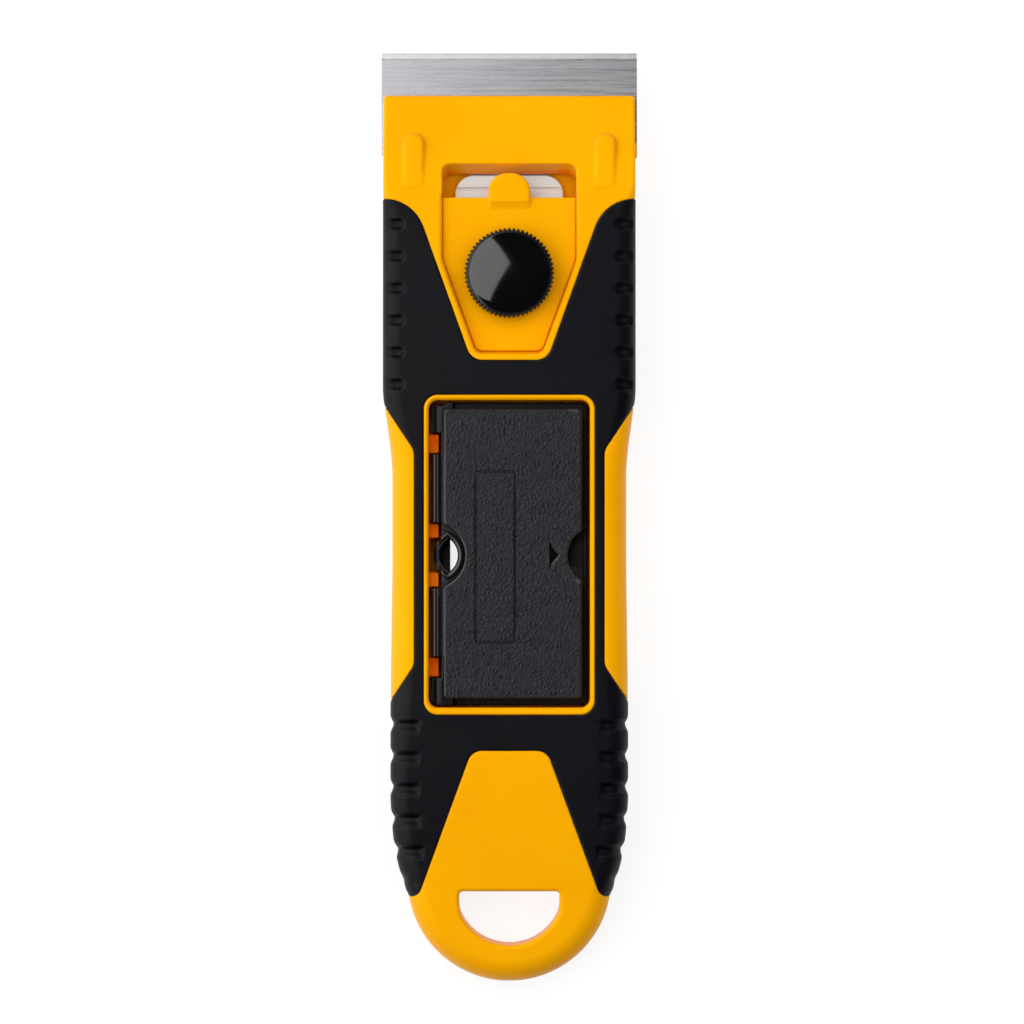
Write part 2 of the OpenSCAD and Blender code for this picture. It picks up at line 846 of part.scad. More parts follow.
module case_base() {
    case_l = case_front_y - case_rear_y;
    color(case_black)
    difference() {
        union() {
            plate(
                box_points(case_right - case_left, case_l, (case_right + case_left) / 2, bay_y, case_r),
                case_z, case_top
            );
            for (side = [-1, 1]) {
                lug_y = bay_y + side * (case_l / 2 - case_r - lug_l / 2);
                barrel_y = bay_y + side * barrel_off;
                block(lug_left, case_left + case_r, lug_y - lug_l / 2, lug_y + lug_l / 2, case_z, case_top);
                block(lug_left, case_left + case_r, barrel_y - barrel_l / 2, barrel_y + barrel_l / 2,
                      barrel_z - cradle_h, case_top);
            }
            eye(eye_wall, case_z, case_top + eye_rise);
        }
        eye(0, case_z - over, grip_t);
        plate(
            box_points(blade_d + 2 * spare_gap, blade_w + 2 * spare_gap, spare_x, bay_y, corner_r / 2),
            case_floor, grip_t
        );
        tube_along_y(case_rear_y, case_front_y, barrel_x, barrel_z, barrel_d + 2 * run_gap);
    }
}

module case_lid() {
    lid_right = case_right - lid_in;
    lid_front_y = case_front_y - lid_front_in;
    lid_rear_y = case_rear_y + lid_rear_in;
    arrow_x = lid_right - arrow_in;
    color(case_black)
    difference() {
        union() {
            plate(
                box_points(lid_right - case_left, lid_front_y - lid_rear_y, (lid_right + case_left) / 2,
                           (lid_front_y + lid_rear_y) / 2, lid_r),
                lid_z, lid_top
            );
            for (side = [-1, 1]) {
                barrel_y = bay_y + side * barrel_off;
                front = barrel_y + barrel_l / 2;
                rear = barrel_y - barrel_l / 2;
                tube_along_y(rear, front, barrel_x, barrel_z, barrel_d);
                block(barrel_x, case_left + lid_left_over, rear, front,
                      barrel_z - web_t / 2, barrel_z + web_t / 2);
            }
        }
        translate([case_left - barrel_d, bay_y, lid_z - over])
            cylinder(r = lid_eye_r, h = lid_t + 2 * over);
        translate([lid_right + hand_gap, bay_y, lid_z - over])
            cylinder(r = thumb_r, h = lid_t + 2 * over);
        plate(
            [[arrow_x, bay_y - arrow_l / 2], [arrow_x + arrow_w, bay_y], [arrow_x, bay_y + arrow_l / 2]],
            lid_top - arrow_d, lid_top + over
        );
    }
}

module spare_blade(i) {
    color(steel)
    translate([spare_x, bay_y, case_floor + i * blade_t])
        rotate([0, 0, 90])
            blade();
}

handle_front_shell();
handle_back_shell();
grip_front();
grip_back();
shell_screws();
clamp_nut();
clamp_pivot_pin();
clamp_plate();
blade_carrier();
slide_plate();
carrier_pegs();
scraper_blade();
thrust_washer();
knob();
knob_stud();
case_base();
case_lid();
spare_blade(0);  // spare_blade_1
spare_blade(1);  // spare_blade_2
spare_blade(2);  // spare_blade_3
spare_blade(3);  // spare_blade_4
spare_blade(4);  // spare_blade_5
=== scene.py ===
# %% [markdown]
# # A blade scraper with a soft grip, dressed for a photograph
#
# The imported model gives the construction: every piece at its real size, riding on the body that it
# moves with. This lesson gives each piece its moulded, ground or grained finish, and rebuilds the
# pieces whose real edges are softer than a plain solid can show. Sizes are in millimetres and are
# turned into metres once, when a mesh is made.

# %% Load the frame
import json
import math

import bmesh
import bpy
import numpy as np
from mathutils import Matrix, Vector

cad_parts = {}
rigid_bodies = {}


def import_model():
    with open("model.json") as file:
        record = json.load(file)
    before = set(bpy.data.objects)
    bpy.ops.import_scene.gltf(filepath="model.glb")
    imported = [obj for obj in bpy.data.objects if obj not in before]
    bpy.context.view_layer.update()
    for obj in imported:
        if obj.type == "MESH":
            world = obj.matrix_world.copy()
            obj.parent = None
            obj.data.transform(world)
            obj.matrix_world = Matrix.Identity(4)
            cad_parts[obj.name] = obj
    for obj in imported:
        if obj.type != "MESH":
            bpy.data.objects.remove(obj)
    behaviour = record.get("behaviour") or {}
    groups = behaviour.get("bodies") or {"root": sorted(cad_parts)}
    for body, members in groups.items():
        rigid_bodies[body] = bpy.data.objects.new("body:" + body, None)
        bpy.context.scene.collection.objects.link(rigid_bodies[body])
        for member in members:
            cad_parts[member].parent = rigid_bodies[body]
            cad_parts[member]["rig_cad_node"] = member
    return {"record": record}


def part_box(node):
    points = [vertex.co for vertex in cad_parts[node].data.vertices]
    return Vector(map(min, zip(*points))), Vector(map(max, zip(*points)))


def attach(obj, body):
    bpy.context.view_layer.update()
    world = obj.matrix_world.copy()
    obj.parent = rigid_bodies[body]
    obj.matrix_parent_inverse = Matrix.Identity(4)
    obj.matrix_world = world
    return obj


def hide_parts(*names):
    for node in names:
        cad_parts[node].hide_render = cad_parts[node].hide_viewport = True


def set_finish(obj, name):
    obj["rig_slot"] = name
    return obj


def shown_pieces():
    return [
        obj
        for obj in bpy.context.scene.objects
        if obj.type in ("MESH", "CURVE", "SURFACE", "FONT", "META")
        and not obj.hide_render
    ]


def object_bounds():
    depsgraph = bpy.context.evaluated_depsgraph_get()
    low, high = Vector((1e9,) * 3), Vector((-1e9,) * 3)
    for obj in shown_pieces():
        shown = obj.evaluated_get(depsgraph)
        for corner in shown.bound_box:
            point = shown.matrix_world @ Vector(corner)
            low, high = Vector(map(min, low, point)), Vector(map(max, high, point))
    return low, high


# A new file of Blender's own holds a cube, a lamp and a camera, and none of them belongs here
for leftover in list(bpy.data.objects):
    bpy.data.objects.remove(leftover)
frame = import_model()
cad_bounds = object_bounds()
MM = 0.001


def node_box(name):
    """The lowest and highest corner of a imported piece, in millimetres."""
    low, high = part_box(name)
    return np.array(low) / MM, np.array(high) / MM


# %% [markdown]
# ## Sculpting with distance fields
#
# Moulded plastic has no sharp edge anywhere: each edge is a small fillet that catches the light.
# Cutting and bevelling a mesh breaks down where many edges meet, so the moulded pieces are made as
# distance fields instead. A field holds, for each point of a grid, how far the point lies outside
# the surface (or inside, where it is negative). Two fields join with a minimum and cut with a
# maximum, and the two functions below do both with a fillet of a chosen radius.

# %% Joining and cutting with a fillet
CELL = 0.25


def cut_to(a, b, r):
    """What lies in both a and b, with a fillet of radius r where they meet."""
    return np.minimum(-r, np.maximum(a, b)) + np.hypot(np.maximum(r + a, 0), np.maximum(r + b, 0))


def cut_away(a, b, r):
    """a without b, with its new edge rounded by r."""
    return cut_to(a, -b, r)


def join(a, b, r):
    """a and b together, with a hollow fillet of radius r in the corner."""
    return np.maximum(r, np.minimum(a, b)) - np.hypot(np.maximum(r - a, 0), np.maximum(r - b, 0))


print("cell of the grid:", CELL, "mm")

# %% Grids and flat fields
class Grid:
    """A box of evenly spaced points, one array per axis, ready to broadcast against each other."""

    def __init__(self, low, high, cell=CELL):
        self.cell = cell
        self.low = np.array(low, float) - 2 * cell
        steps = np.ceil((np.array(high, float) + 2 * cell - self.low) / cell).astype(int) + 1
        line = [np.float32(self.low[a] + cell * np.arange(steps[a])) for a in range(3)]
        self.x, self.y, self.z = line[0][:, None, None], line[1][None, :, None], line[2][None, None, :]

    def along_y(self, low, high):
        """The slice of this grid between two places along the handle."""
        return slice(*np.searchsorted(self.y[0, :, 0], [low, high]))


def box_field(x, y, half_w, low_y, high_y, r):
    """Distance to a rectangle with round corners, in plan, with its middle on x = 0."""
    dx = np.abs(x) - half_w + r
    dy = np.abs(y - (low_y + high_y) / 2) - (high_y - low_y) / 2 + r
    return np.minimum(np.maximum(dx, dy), 0) + np.hypot(np.maximum(dx, 0), np.maximum(dy, 0)) - r


def ball_field(x, y, r):
    return np.hypot(x, y) - r


def arched_field(x, y, half_w, low_y, high_y, r, arch_r):
    """A rectangle like that of box_field, with larger round corners at its front only."""
    behind = 20
    return np.maximum(box_field(x, y, half_w, low_y, high_y, r),
                      box_field(x, y, half_w, low_y - behind, high_y, arch_r))


def outline_field(x, y, points):
    """Distance to a closed outline in plan: negative inside it."""
    px, py = np.broadcast_arrays(x, y)
    best = np.full(px.shape, np.inf, np.float32)
    inside = np.zeros(px.shape, bool)
    for (ax, ay), (bx, by) in zip(points, points[1:] + points[:1]):
        ex, ey = bx - ax, by - ay
        wx, wy = px - ax, py - ay
        t = np.clip((wx * ex + wy * ey) / max(ex * ex + ey * ey, 1e-12), 0, 1)
        np.minimum(best, (wx - ex * t) ** 2 + (wy - ey * t) ** 2, out=best)
        inside ^= ((ay > py) != (by > py)) & ((wx * ey < ex * wy) == (ey > 0))
    return np.where(inside, -1, 1) * np.sqrt(best)


# %% Turning a field into a mesh
CORNERS = [(i, j, k) for i in (0, 1) for j in (0, 1) for k in (0, 1)]
EDGES = [(a, b) for a in CORNERS for b in CORNERS
         if sum(b) - sum(a) == 1 and all(q >= p for p, q in zip(a, b))]


def skin(field, grid):
    """Points and quads of the surface where the field is zero, one point for each cell that it crosses."""
    inside = field < 0
    counts = sum(inside[i:inside.shape[0] - 1 + i, j:inside.shape[1] - 1 + j, k:inside.shape[2] - 1 + k]
                 .astype(np.uint8) for i, j, k in CORNERS)
    cells = np.argwhere((counts > 0) & (counts < 8))
    total, hits = np.zeros(cells.shape), np.zeros(len(cells))
    for a, b in EDGES:
        fa = field[tuple((cells + a).T)].astype(float)
        fb = field[tuple((cells + b).T)].astype(float)
        crossed = (fa < 0) != (fb < 0)
        t = np.where(crossed, fa / np.where(crossed, fa - fb, 1), 0)
        total += crossed[:, None] * (np.array(a) + t[:, None] * (np.array(b) - np.array(a)))
        hits += crossed
    number = np.full(counts.shape, -1, np.int32)
    number[tuple(cells.T)] = np.arange(len(cells))
    quads = []
    for axis in range(3):
        behind = [slice(1, -1)] * 3
        behind[axis] = slice(0, -1)
        ahead = [slice(1, -1)] * 3
        ahead[axis] = slice(1, None)
        here, there = inside[tuple(behind)], inside[tuple(ahead)]
        u, v = (axis + 1) % 3, (axis + 2) % 3
        start = np.array([1, 1, 1])
        start[axis] = 0
        for solid_first in (True, False):
            at = np.argwhere(here & ~there if solid_first else ~here & there) + start
            ring = []
            for du, dv in ((-1, -1), (0, -1), (0, 0), (-1, 0)):
                cell = at.copy()
                cell[:, u] += du
                cell[:, v] += dv
                ring.append(number[tuple(cell.T)])
            quads.append(np.stack(ring if solid_first else ring[::-1], 1))
    return grid.low + grid.cell * (cells + total / hits[:, None]), np.concatenate(quads)


def mesh_from(name, points, faces):
    """A mesh in metres from points in millimetres and faces of one size."""
    mesh = bpy.data.meshes.new(name)
    mesh.vertices.add(len(points))
    mesh.vertices.foreach_set("co", (np.asarray(points, float) * MM).astype(np.float32).ravel())
    mesh.loops.add(faces.size)
    mesh.loops.foreach_set("vertex_index", faces.astype(np.int32).ravel())
    mesh.polygons.add(len(faces))
    mesh.polygons.foreach_set("loop_start", np.arange(0, faces.size, faces.shape[1], dtype=np.int32))
    mesh.update(calc_edges=True)
    mesh.validate()
    return mesh


def place(name, mesh, body, slot, replaced=()):
    """An object that rides on a body, takes a slot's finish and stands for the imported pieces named."""
    piece = bpy.data.objects.new(name, mesh)
    bpy.context.scene.collection.objects.link(piece)
    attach(piece, body)
    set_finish(piece, slot)
    if replaced:
        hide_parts(*replaced)
    return piece


def bake_modifiers(piece):
    """The piece's mesh as its modifiers leave it, with the modifiers gone."""
    bpy.context.view_layer.update()
    shaped = bpy.data.meshes.new_from_object(piece.evaluated_get(bpy.context.evaluated_depsgraph_get()))
    piece.modifiers.clear()
    piece.data = shaped
    return piece


SHARP_EDGE = math.radians(50)


def shade(piece):
    """Smooth shading that leaves flat faces flat, by weighting each corner's normal by its faces' areas."""
    piece.data.polygons.foreach_set("use_smooth", np.ones(len(piece.data.polygons), bool))
    piece.data.set_sharp_from_angle(angle=SHARP_EDGE)
    even = piece.modifiers.new("even", "WEIGHTED_NORMAL")
    even.keep_sharp = True
    return bake_modifiers(piece)


def sculpt(name, field, grid, faces, body, slot, replaced=()):
    """A piece from a distance field, thinned to about the number of triangles asked for."""
    points, quads = skin(field, grid)
    piece = place(name, mesh_from(name, points, quads), body, slot, replaced)
    thin = piece.modifiers.new("thin", "DECIMATE")
    thin.ratio = min(1, faces / (2 * len(quads)))
    bake_modifiers(piece)
    shade(piece)
    print(f"{name}: {len(quads)} quads thinned to {len(piece.data.polygons)} faces")
    return piece

# %% [markdown]
# ## The handle's body
#
# Both shells and both soft grips are cut from one body, so that they meet flush all round. Its plan
# is a smooth outline, wide at the head and the hips and drawn in at the waist, and its side view is a
# wedge that thins towards the blade and the tail. The edge radius grows from under a millimetre at
# the hard head to a palm-filling round at the grip.

# %% Sizes of the body
low, high = (np.array(c) / MM for c in cad_bounds)
BLADE_Y, TAIL_Y = high[1], low[1]
FRONT_Y = node_box("handle_front_shell")[1][1]
HEAD_W = node_box("handle_back_shell")[1][0]
SPLIT_Z = node_box("handle_back_shell")[1][2]
GRIP_T = 16.5
LIP_CORNER = 1.0
TAIL_R, TAIL_FROM, TAIL_END = 24, math.radians(82), math.radians(4)
GRIP_Y, CREASE_Y = 74.35, 77.45
LIP_T, LIP_UNDER, CREASE_T, TAIL_T = 8.8, 2.2, 14.4, 12.0
WAIST, HIPS = 27.5, 27.85
RUBBER_T = 2.0
BAY_Y = -8.95
CROWN, CROWN_FADE = 0.5, 20
BACK_EDGE, LIP_BACK_EDGE, EDGE_BLUR = 2.2, 0.7, 3.0
SPLIT_EDGE = 0.15
SEAM = 0.3
SUNK = 0.1

# Half the width at places from the tail's arc to the shoulder, then straight along the head
SIDES = [(-88.4, 23.8), (-86, 24.9), (-80.5, 26.4), (-75, 27.3), (-66, 27.9), (-60.5, HIPS), (-37, HIPS),
         (-12, WAIST), (11, WAIST), (16.6, 28.0), (22.3, 28.8), (28.5, HEAD_W), (CREASE_Y, HEAD_W)]
# The height of the top along the handle
TOPS = [(TAIL_Y, TAIL_T), (-88, 13.2), (-60.5, 15.7), (-46, GRIP_T), (28.5, GRIP_T), (CREASE_Y, CREASE_T)]
# The radius of the top edge along the handle
EDGE_RADII = [(TAIL_Y, 5.5), (-80, 5.0), (-62, 4.2), (-40, 5.6), (10, 5.6), (30, 4.2), (GRIP_Y - 3, 4.0),
              (CREASE_Y, 0.9), (FRONT_Y, 0.8)]
print("head", 2 * HEAD_W, "mm wide, split at", SPLIT_Z, "mm")


def read_off(y, places, values):
    return np.interp(y, places, values).astype(np.float32)


def along(y, places, blur=4.0):
    """A value read along the handle from places and values, with its corners eased over a length."""
    step, margin = 0.25, 40
    line = np.arange(TAIL_Y - margin, BLADE_Y + margin, step)
    ends = np.interp(line, *zip(*places))
    kernel = np.ones(max(1, int(blur / step)))
    return read_off(y, line, np.convolve(ends, kernel / len(kernel), "same"))


def half_outline():
    """The right side of the handle's outline from the middle of the lip round to the end of the tail."""
    lip_x, lip_y = HEAD_W - LIP_CORNER, FRONT_Y - LIP_CORNER
    lip = [(lip_x + LIP_CORNER * math.cos(a), lip_y + LIP_CORNER * math.sin(a))
           for a in np.radians(np.linspace(90, 0, 7))]
    middle_y = TAIL_Y + TAIL_R * math.cos(TAIL_END)
    side_y = np.arange(CREASE_Y, middle_y - TAIL_R * math.cos(TAIL_FROM), -1.0)
    side = list(zip(along(side_y, SIDES), side_y))
    tail = [(TAIL_R * math.sin(a), middle_y - TAIL_R * math.cos(a))
            for a in np.linspace(TAIL_FROM, TAIL_END, 40)]
    return [(0.0, FRONT_Y)] + lip + side + tail + [(0.0, TAIL_Y)]


def rounded(points, radii, steps=8):
    """A closed outline with each corner rounded by its own radius."""
    out = []
    for i, r in enumerate(radii):
        p, a, b = (np.array(points[j % len(points)], float) for j in (i, i - 1, i + 1))
        u, v = (a - p) / np.linalg.norm(a - p), (b - p) / np.linalg.norm(b - p)
        half = math.acos(np.clip(u @ v, -1, 1)) / 2
        if r == 0:
            out.append(tuple(p))
            continue
        centre = p + (u + v) / np.linalg.norm(u + v) * r / math.sin(half)
        s, e = p + u * r / math.tan(half) - centre, p + v * r / math.tan(half) - centre
        first = math.atan2(s[1], s[0])
        turn = (math.atan2(e[1], e[0]) - first + math.pi) % (2 * math.pi) - math.pi
        angles = first + turn * np.arange(steps + 1) / steps
        out += [tuple(centre + r * np.array([math.cos(t), math.sin(t)])) for t in angles]
    return out


def mirrored(half):
    """A closed outline from its right half, listed from front to rear."""
    return half + [(-x, y) for x, y in reversed(half)]


# %% [markdown]
# The soft grip leaves four kinds of window bare: the head with its V, the tail, the two long side
# windows and the ring round the blade case. The same plan decides where plastic ends and rubber
# begins, so the seam is one shared line.

# %% The windows of the grip
VEE_Y, VEE_W, VEE_SLOPE, VEE_R, SHOULDER_R = 36.65, 8.9, 0.359, 3.7, 9.75
TAIL_TOP_Y, TAIL_TOP_W, TAIL_TOP_R = -54.55, 8.8, 3.5
TIP_Y, TIP_W, TIP_R = -88.9, TAIL_TOP_W + 0.365 * 34.35, 2.5
SIDE_X, SIDE_FRONT_Y, SIDE_REAR_Y, SIDE_SLOPE, SIDE_R = 22.2, 15.55, -34.65, 1.5, 4
RING_W, RING_FRONT, RING_REAR, RING_R = 19.95, 28.55, -46.2, 3.3
# A width and a length that lie safely outside the handle
FAR, BEYOND = 34.0, 4


def windows(x, y):
    """Distance in plan to the plastic that the soft grip leaves bare: negative where it is bare."""
    top_w = VEE_W + VEE_SLOPE * (GRIP_Y - VEE_Y)
    head = rounded(mirrored([(FAR, FRONT_Y + BEYOND), (FAR, GRIP_Y), (top_w, GRIP_Y), (VEE_W, VEE_Y)]),
                   [0, 0, SHOULDER_R, VEE_R, VEE_R, SHOULDER_R, 0, 0])
    tail = rounded(mirrored([(TAIL_TOP_W, TAIL_TOP_Y), (TIP_W, TIP_Y), (FAR, TIP_Y), (FAR, TAIL_Y - BEYOND)]),
                   [TAIL_TOP_R, TIP_R, 0, 0, 0, 0, TIP_R, TAIL_TOP_R])
    rise = SIDE_SLOPE * (FAR - SIDE_X)
    side = rounded([(SIDE_X, SIDE_FRONT_Y), (FAR, SIDE_FRONT_Y + rise), (FAR, SIDE_REAR_Y - rise),
                    (SIDE_X, SIDE_REAR_Y)], [SIDE_R, 0, 0, SIDE_R])
    ring = box_field(x, y, RING_W, RING_REAR, RING_FRONT, RING_R)
    return np.minimum.reduce([outline_field(x, y, head), outline_field(x, y, tail),
                              outline_field(np.abs(x), y, side), ring])


def body_field(g):
    """Distance to the body that the shells and the grips are cut from."""
    plan = outline_field(np.abs(g.x), g.y, mirrored(half_outline()))
    crown = CROWN * np.clip(np.abs(g.x) / WAIST, 0, 1) ** 2 * np.clip((CREASE_Y - g.y) / CROWN_FADE, 0, 1)
    slope = CREASE_T + (CREASE_T - LIP_T) * (CREASE_Y - g.y) / (FRONT_Y - CREASE_Y)
    top = np.where(g.y < CREASE_Y, along(g.y, TOPS), slope) - crown
    under = read_off(g.y, [CREASE_Y, FRONT_Y], [0, LIP_UNDER])
    back_edge = read_off(g.y, [CREASE_Y, FRONT_Y], [BACK_EDGE, LIP_BACK_EDGE])
    upper = cut_to(plan, g.z - top, along(g.y, EDGE_RADII, EDGE_BLUR))
    return cut_to(upper, under - g.z, back_edge)


# The hang hole's flat side, depth, half width, arc and corner, and where the screws sit
HOLE_Y, HOLE_D, HOLE_W, HOLE_R, HOLE_CORNER = -87.6, 12.7, 11.8, 12.5, 1.0
SCREWS = ((23.15, 58.35), (21, -58.25))


def hang_hole(x, y):
    """The D-shaped hole of the tail, in plan."""
    return cut_to(box_field(x, y, HOLE_W, HOLE_Y - 2 * HOLE_D, HOLE_Y, HOLE_CORNER),
                  ball_field(x, y - (HOLE_Y - HOLE_D + HOLE_R), HOLE_R), 0.5)


def screw_bores(x, y, r):
    """Four round holes where the screws go, in plan."""
    return np.minimum.reduce([ball_field(np.abs(x) - at_x, y - at_y, r) for at_x, at_y in SCREWS])

# %% [markdown]
# ## The front shell
#
# The yellow shell shows through the windows of the grip and runs on under it as a core, as an
# overmoulded handle does. On the way from block to moulding it gets the blade case's bay with a
# raised bead round it, the V-shaped well of the clamp plate on its chamfered seat, the slot with its
# leaning front wall, two ribs on the slope, the blade channel under the jaw and the hang hole. Four
# low guides in the bay's left gap keep the case in line.

# %% The front shell's features
KNOB_Y = 56.95
SLOT_W, SLOT_Y, SLOT_FRONT_Y, SLOT_LEAN = 15.7, 75.05, 82.8, 2.5
SLOT_R, SLOT_TOP = 2.0, 13.1
CHANNEL_TOP, JAW_D = 5.95, 24.4
TUNNEL_TOP, TUNNEL_W, TUNNEL_REAR_Y = 6.45, 13.0, 40.45
RIM_W, WELL_R, BEND_R = 1.6, 2, 6
SEAT_TOP, SEAT_W, LEDGE_TOP = 12.7, 1.3, 9.6
RIB_X, RIB_W, RIB_L, RIB_END_T = 22.4, 2.5, 12.2, 12.9
BAY_W, BAY_R, BAY_FRONT_Y, BAY_REAR_Y = 18.8, 2.1, 27.25, -44.45
GUIDES, GUIDE_X, GUIDE_W, GUIDE_TOP = ((4.0, 7.4), (23.9, 28.3)), -18.0, 1.5, 12.4
NUB_X, NUB_REAR_Y, NUB_FRONT_Y, NUB_Z, NUB_H = high[0], 84.1, 87.7, 7.45, 1.5
PIN_Y, PIN_Z, PIN_R, PIN_HALF = 41.35, 9.5, 1.25, 11.4
SCREW_R, SCREW_TOP = 1.5, 10.2
# Two hollows under the tail keep its wall thin
HOLLOW_X, HOLLOW_W, HOLLOW_REAR_Y, HOLLOW_FRONT_Y, HOLLOW_TOP = 5, 4, -79.55, -57.55, 11.8


def well(x, y, gap=0.0, end_gap=0.0, front_y=SLOT_Y):
    """The V-shaped well that the clamp plate lies in, in plan, drawn in by a gap."""
    in_w = VEE_W - RIM_W * math.hypot(1, VEE_SLOPE) + VEE_SLOPE * RIM_W
    rear_y = VEE_Y + RIM_W
    bend_y = rear_y + (SLOT_W - in_w) / VEE_SLOPE
    half = [(SLOT_W - gap, front_y), (SLOT_W - gap, bend_y), (in_w - gap, rear_y + end_gap)]
    return outline_field(x, y, rounded(mirrored(half), [0, BEND_R, WELL_R, WELL_R, BEND_R, 0]))


def seat(z):
    """How far the chamfered seat of the clamp plate comes in at a height."""
    return np.clip(SEAT_TOP - z, 0, SEAT_W)


def head_details(shell, x, y, z):
    """The shell with the ribs, the nub, the slot, the channel and the tunnel of its head."""
    rib_top = read_off(y, [CREASE_Y - 3, CREASE_Y, CREASE_Y + RIB_L], [CREASE_T - 2, CREASE_T, RIB_END_T])
    rib_plan = box_field(np.abs(x) - RIB_X, y, RIB_W, CREASE_Y - RIB_L, CREASE_Y + RIB_L, 2.2)
    shell = join(shell, cut_to(rib_plan, z - rib_top, 1.0), 0.5)
    nub = box_field(x - NUB_X + 1, y, 1.0, NUB_REAR_Y, NUB_FRONT_Y, 0.5)
    shell = join(shell, np.maximum(nub, np.abs(z - NUB_Z) - NUB_H), 0.3)
    front_y = SLOT_FRONT_Y - SLOT_LEAN * np.clip((SLOT_TOP - z) / (SLOT_TOP - CHANNEL_TOP), 0, 1)
    shell = cut_away(shell, box_field(x, y, SLOT_W, SLOT_Y - 2, front_y, SLOT_R), 0.4)
    shell = cut_away(shell, np.maximum(FRONT_Y - JAW_D - y, z - CHANNEL_TOP), 0.2)
    tunnel = box_field(x, y, TUNNEL_W, TUNNEL_REAR_Y, SLOT_FRONT_Y, 0.3)
    return cut_away(shell, np.maximum(tunnel, z - TUNNEL_TOP), 0.1)


def front_shell():
    g = Grid((-HEAD_W, TAIL_Y, SPLIT_Z), (NUB_X, FRONT_Y, GRIP_T + 0.6))
    body, bare = body_field(g), windows(g.x, g.y)
    shell = np.minimum(cut_to(body + SUNK, bare, SEAM), body + RUBBER_T + 0.05)
    shell = cut_away(shell, np.maximum(well(g.x, g.y) + seat(g.z), LEDGE_TOP - g.z), 0.9)
    shell = cut_away(shell, well(g.x, g.y, 2.0, 1.0, SLOT_Y + 3), 0.2)
    head = g.along_y(36, 110)
    shell[:, head] = head_details(shell[:, head], g.x, g.y[:, head], g.z)
    rim = cut_to(box_field(g.x, g.y, RING_W, RING_REAR, RING_FRONT, RING_R), g.z - GRIP_T, 0.6)
    shell = np.minimum(shell, np.maximum(rim, GRIP_T - 2 - g.z))
    shell = cut_away(shell, box_field(g.x, g.y, BAY_W, BAY_REAR_Y, BAY_FRONT_Y, BAY_R), 1.2)
    for low_off, high_off in GUIDES:
        guide = box_field(g.x - GUIDE_X, np.abs(g.y - BAY_Y), GUIDE_W, low_off, high_off, 0.3)
        shell = join(shell, np.maximum(guide, g.z - GUIDE_TOP), 0.4)
    shell = cut_away(shell, hang_hole(g.x, g.y), 0.9)
    shell = cut_away(shell, np.maximum(screw_bores(g.x, g.y, SCREW_R), g.z - SCREW_TOP), 0.1)
    hollows = box_field(np.abs(g.x) - HOLLOW_X, g.y, HOLLOW_W, HOLLOW_REAR_Y, HOLLOW_FRONT_Y, 1.0)
    shell = cut_away(shell, np.maximum(hollows, g.z - HOLLOW_TOP), 0.2)
    pin = np.maximum(ball_field(g.y - PIN_Y, g.z - PIN_Z, PIN_R), np.abs(g.x) - PIN_HALF)
    shell = np.maximum(shell, -pin)
    return sculpt("front_shell", cut_to(shell, SPLIT_Z - g.z, SPLIT_EDGE), g, 110000,
                  "handle", "yellow_plastic", ["handle_front_shell"])


yellow_front = front_shell()

# %% [markdown]
# ## The back shell
#
# The back shell is the lower jaw. It has the window behind the case, the pocket of the nut, the
# counterbored screw holes and the same hang hole.

# %% Make the back shell
WINDOW_W, WINDOW_L, WINDOW_R = 13.9, 22, 3.0
NUT_W, NUT_FLOOR = 3.55, 0.95
SCREW_HEAD_R, SCREW_HEAD_D = 2.9, 2.0


def back_shell():
    g = Grid((-HEAD_W, TAIL_Y, 0), (HEAD_W, FRONT_Y, SPLIT_Z))
    body, bare = body_field(g), windows(g.x, g.y)
    shell = np.minimum(cut_to(body + SUNK * (g.z > 0.5), bare, SEAM), body + RUBBER_T + 0.05)
    shell = cut_away(shell, box_field(g.x, g.y, WINDOW_W, BAY_Y - WINDOW_L, BAY_Y + WINDOW_L, WINDOW_R), 0.6)
    nut = np.maximum.reduce([np.abs(g.x * math.cos(a) + (g.y - KNOB_Y) * math.sin(a)) - NUT_W
                             for a in np.radians([30, 90, 150])])
    shell = cut_away(shell, np.maximum(nut, NUT_FLOOR - g.z), 0.1)
    shell = cut_away(shell, hang_hole(g.x, g.y), 0.9)
    shell = cut_away(shell, screw_bores(g.x, g.y, SCREW_R), 0.1)
    shell = cut_away(shell, np.maximum(screw_bores(g.x, g.y, SCREW_HEAD_R), g.z - SCREW_HEAD_D), 0.2)
    return sculpt("back_shell", cut_to(shell, g.z - SPLIT_Z, SPLIT_EDGE), g, 70000,
                  "handle", "yellow_plastic", ["handle_back_shell"])


back_shell()

# %% [markdown]
# ## The soft grips
#
# The rubber is a two-millimetre skin in the same body, moulded round the windows. Six short finger
# grooves a side lie on the shoulders. Further back the grooves run over the edge, and there the
# rubber swells between them, which gives the grip its scalloped sides.

# %% Make the grips
UPPER_GROOVES = [68.45 - 7.5 * i for i in range(6)]
LOWER_GROOVES = [-48.5 - 7.36 * i for i in range(5)]
LAST_NICK, NICK_SHARE = -84.9, 0.45
GRIP_REAR_Y, GRIP_FRONT_Y = -89.5, 75
NEAR = 3
# How far in from the side an upper groove starts and ends, and the length that it fades over, then
# how far in a notch and a lower groove reach, each with the length that it fades over
UPPER_IN, UPPER_END, UPPER_FADE = 3.7, 0.7, 2.4
NOTCH_REACH, NOTCH_FADE, LOWER_REACH, LOWER_FADE = 1.7, 1.3, 6.9, 1.1
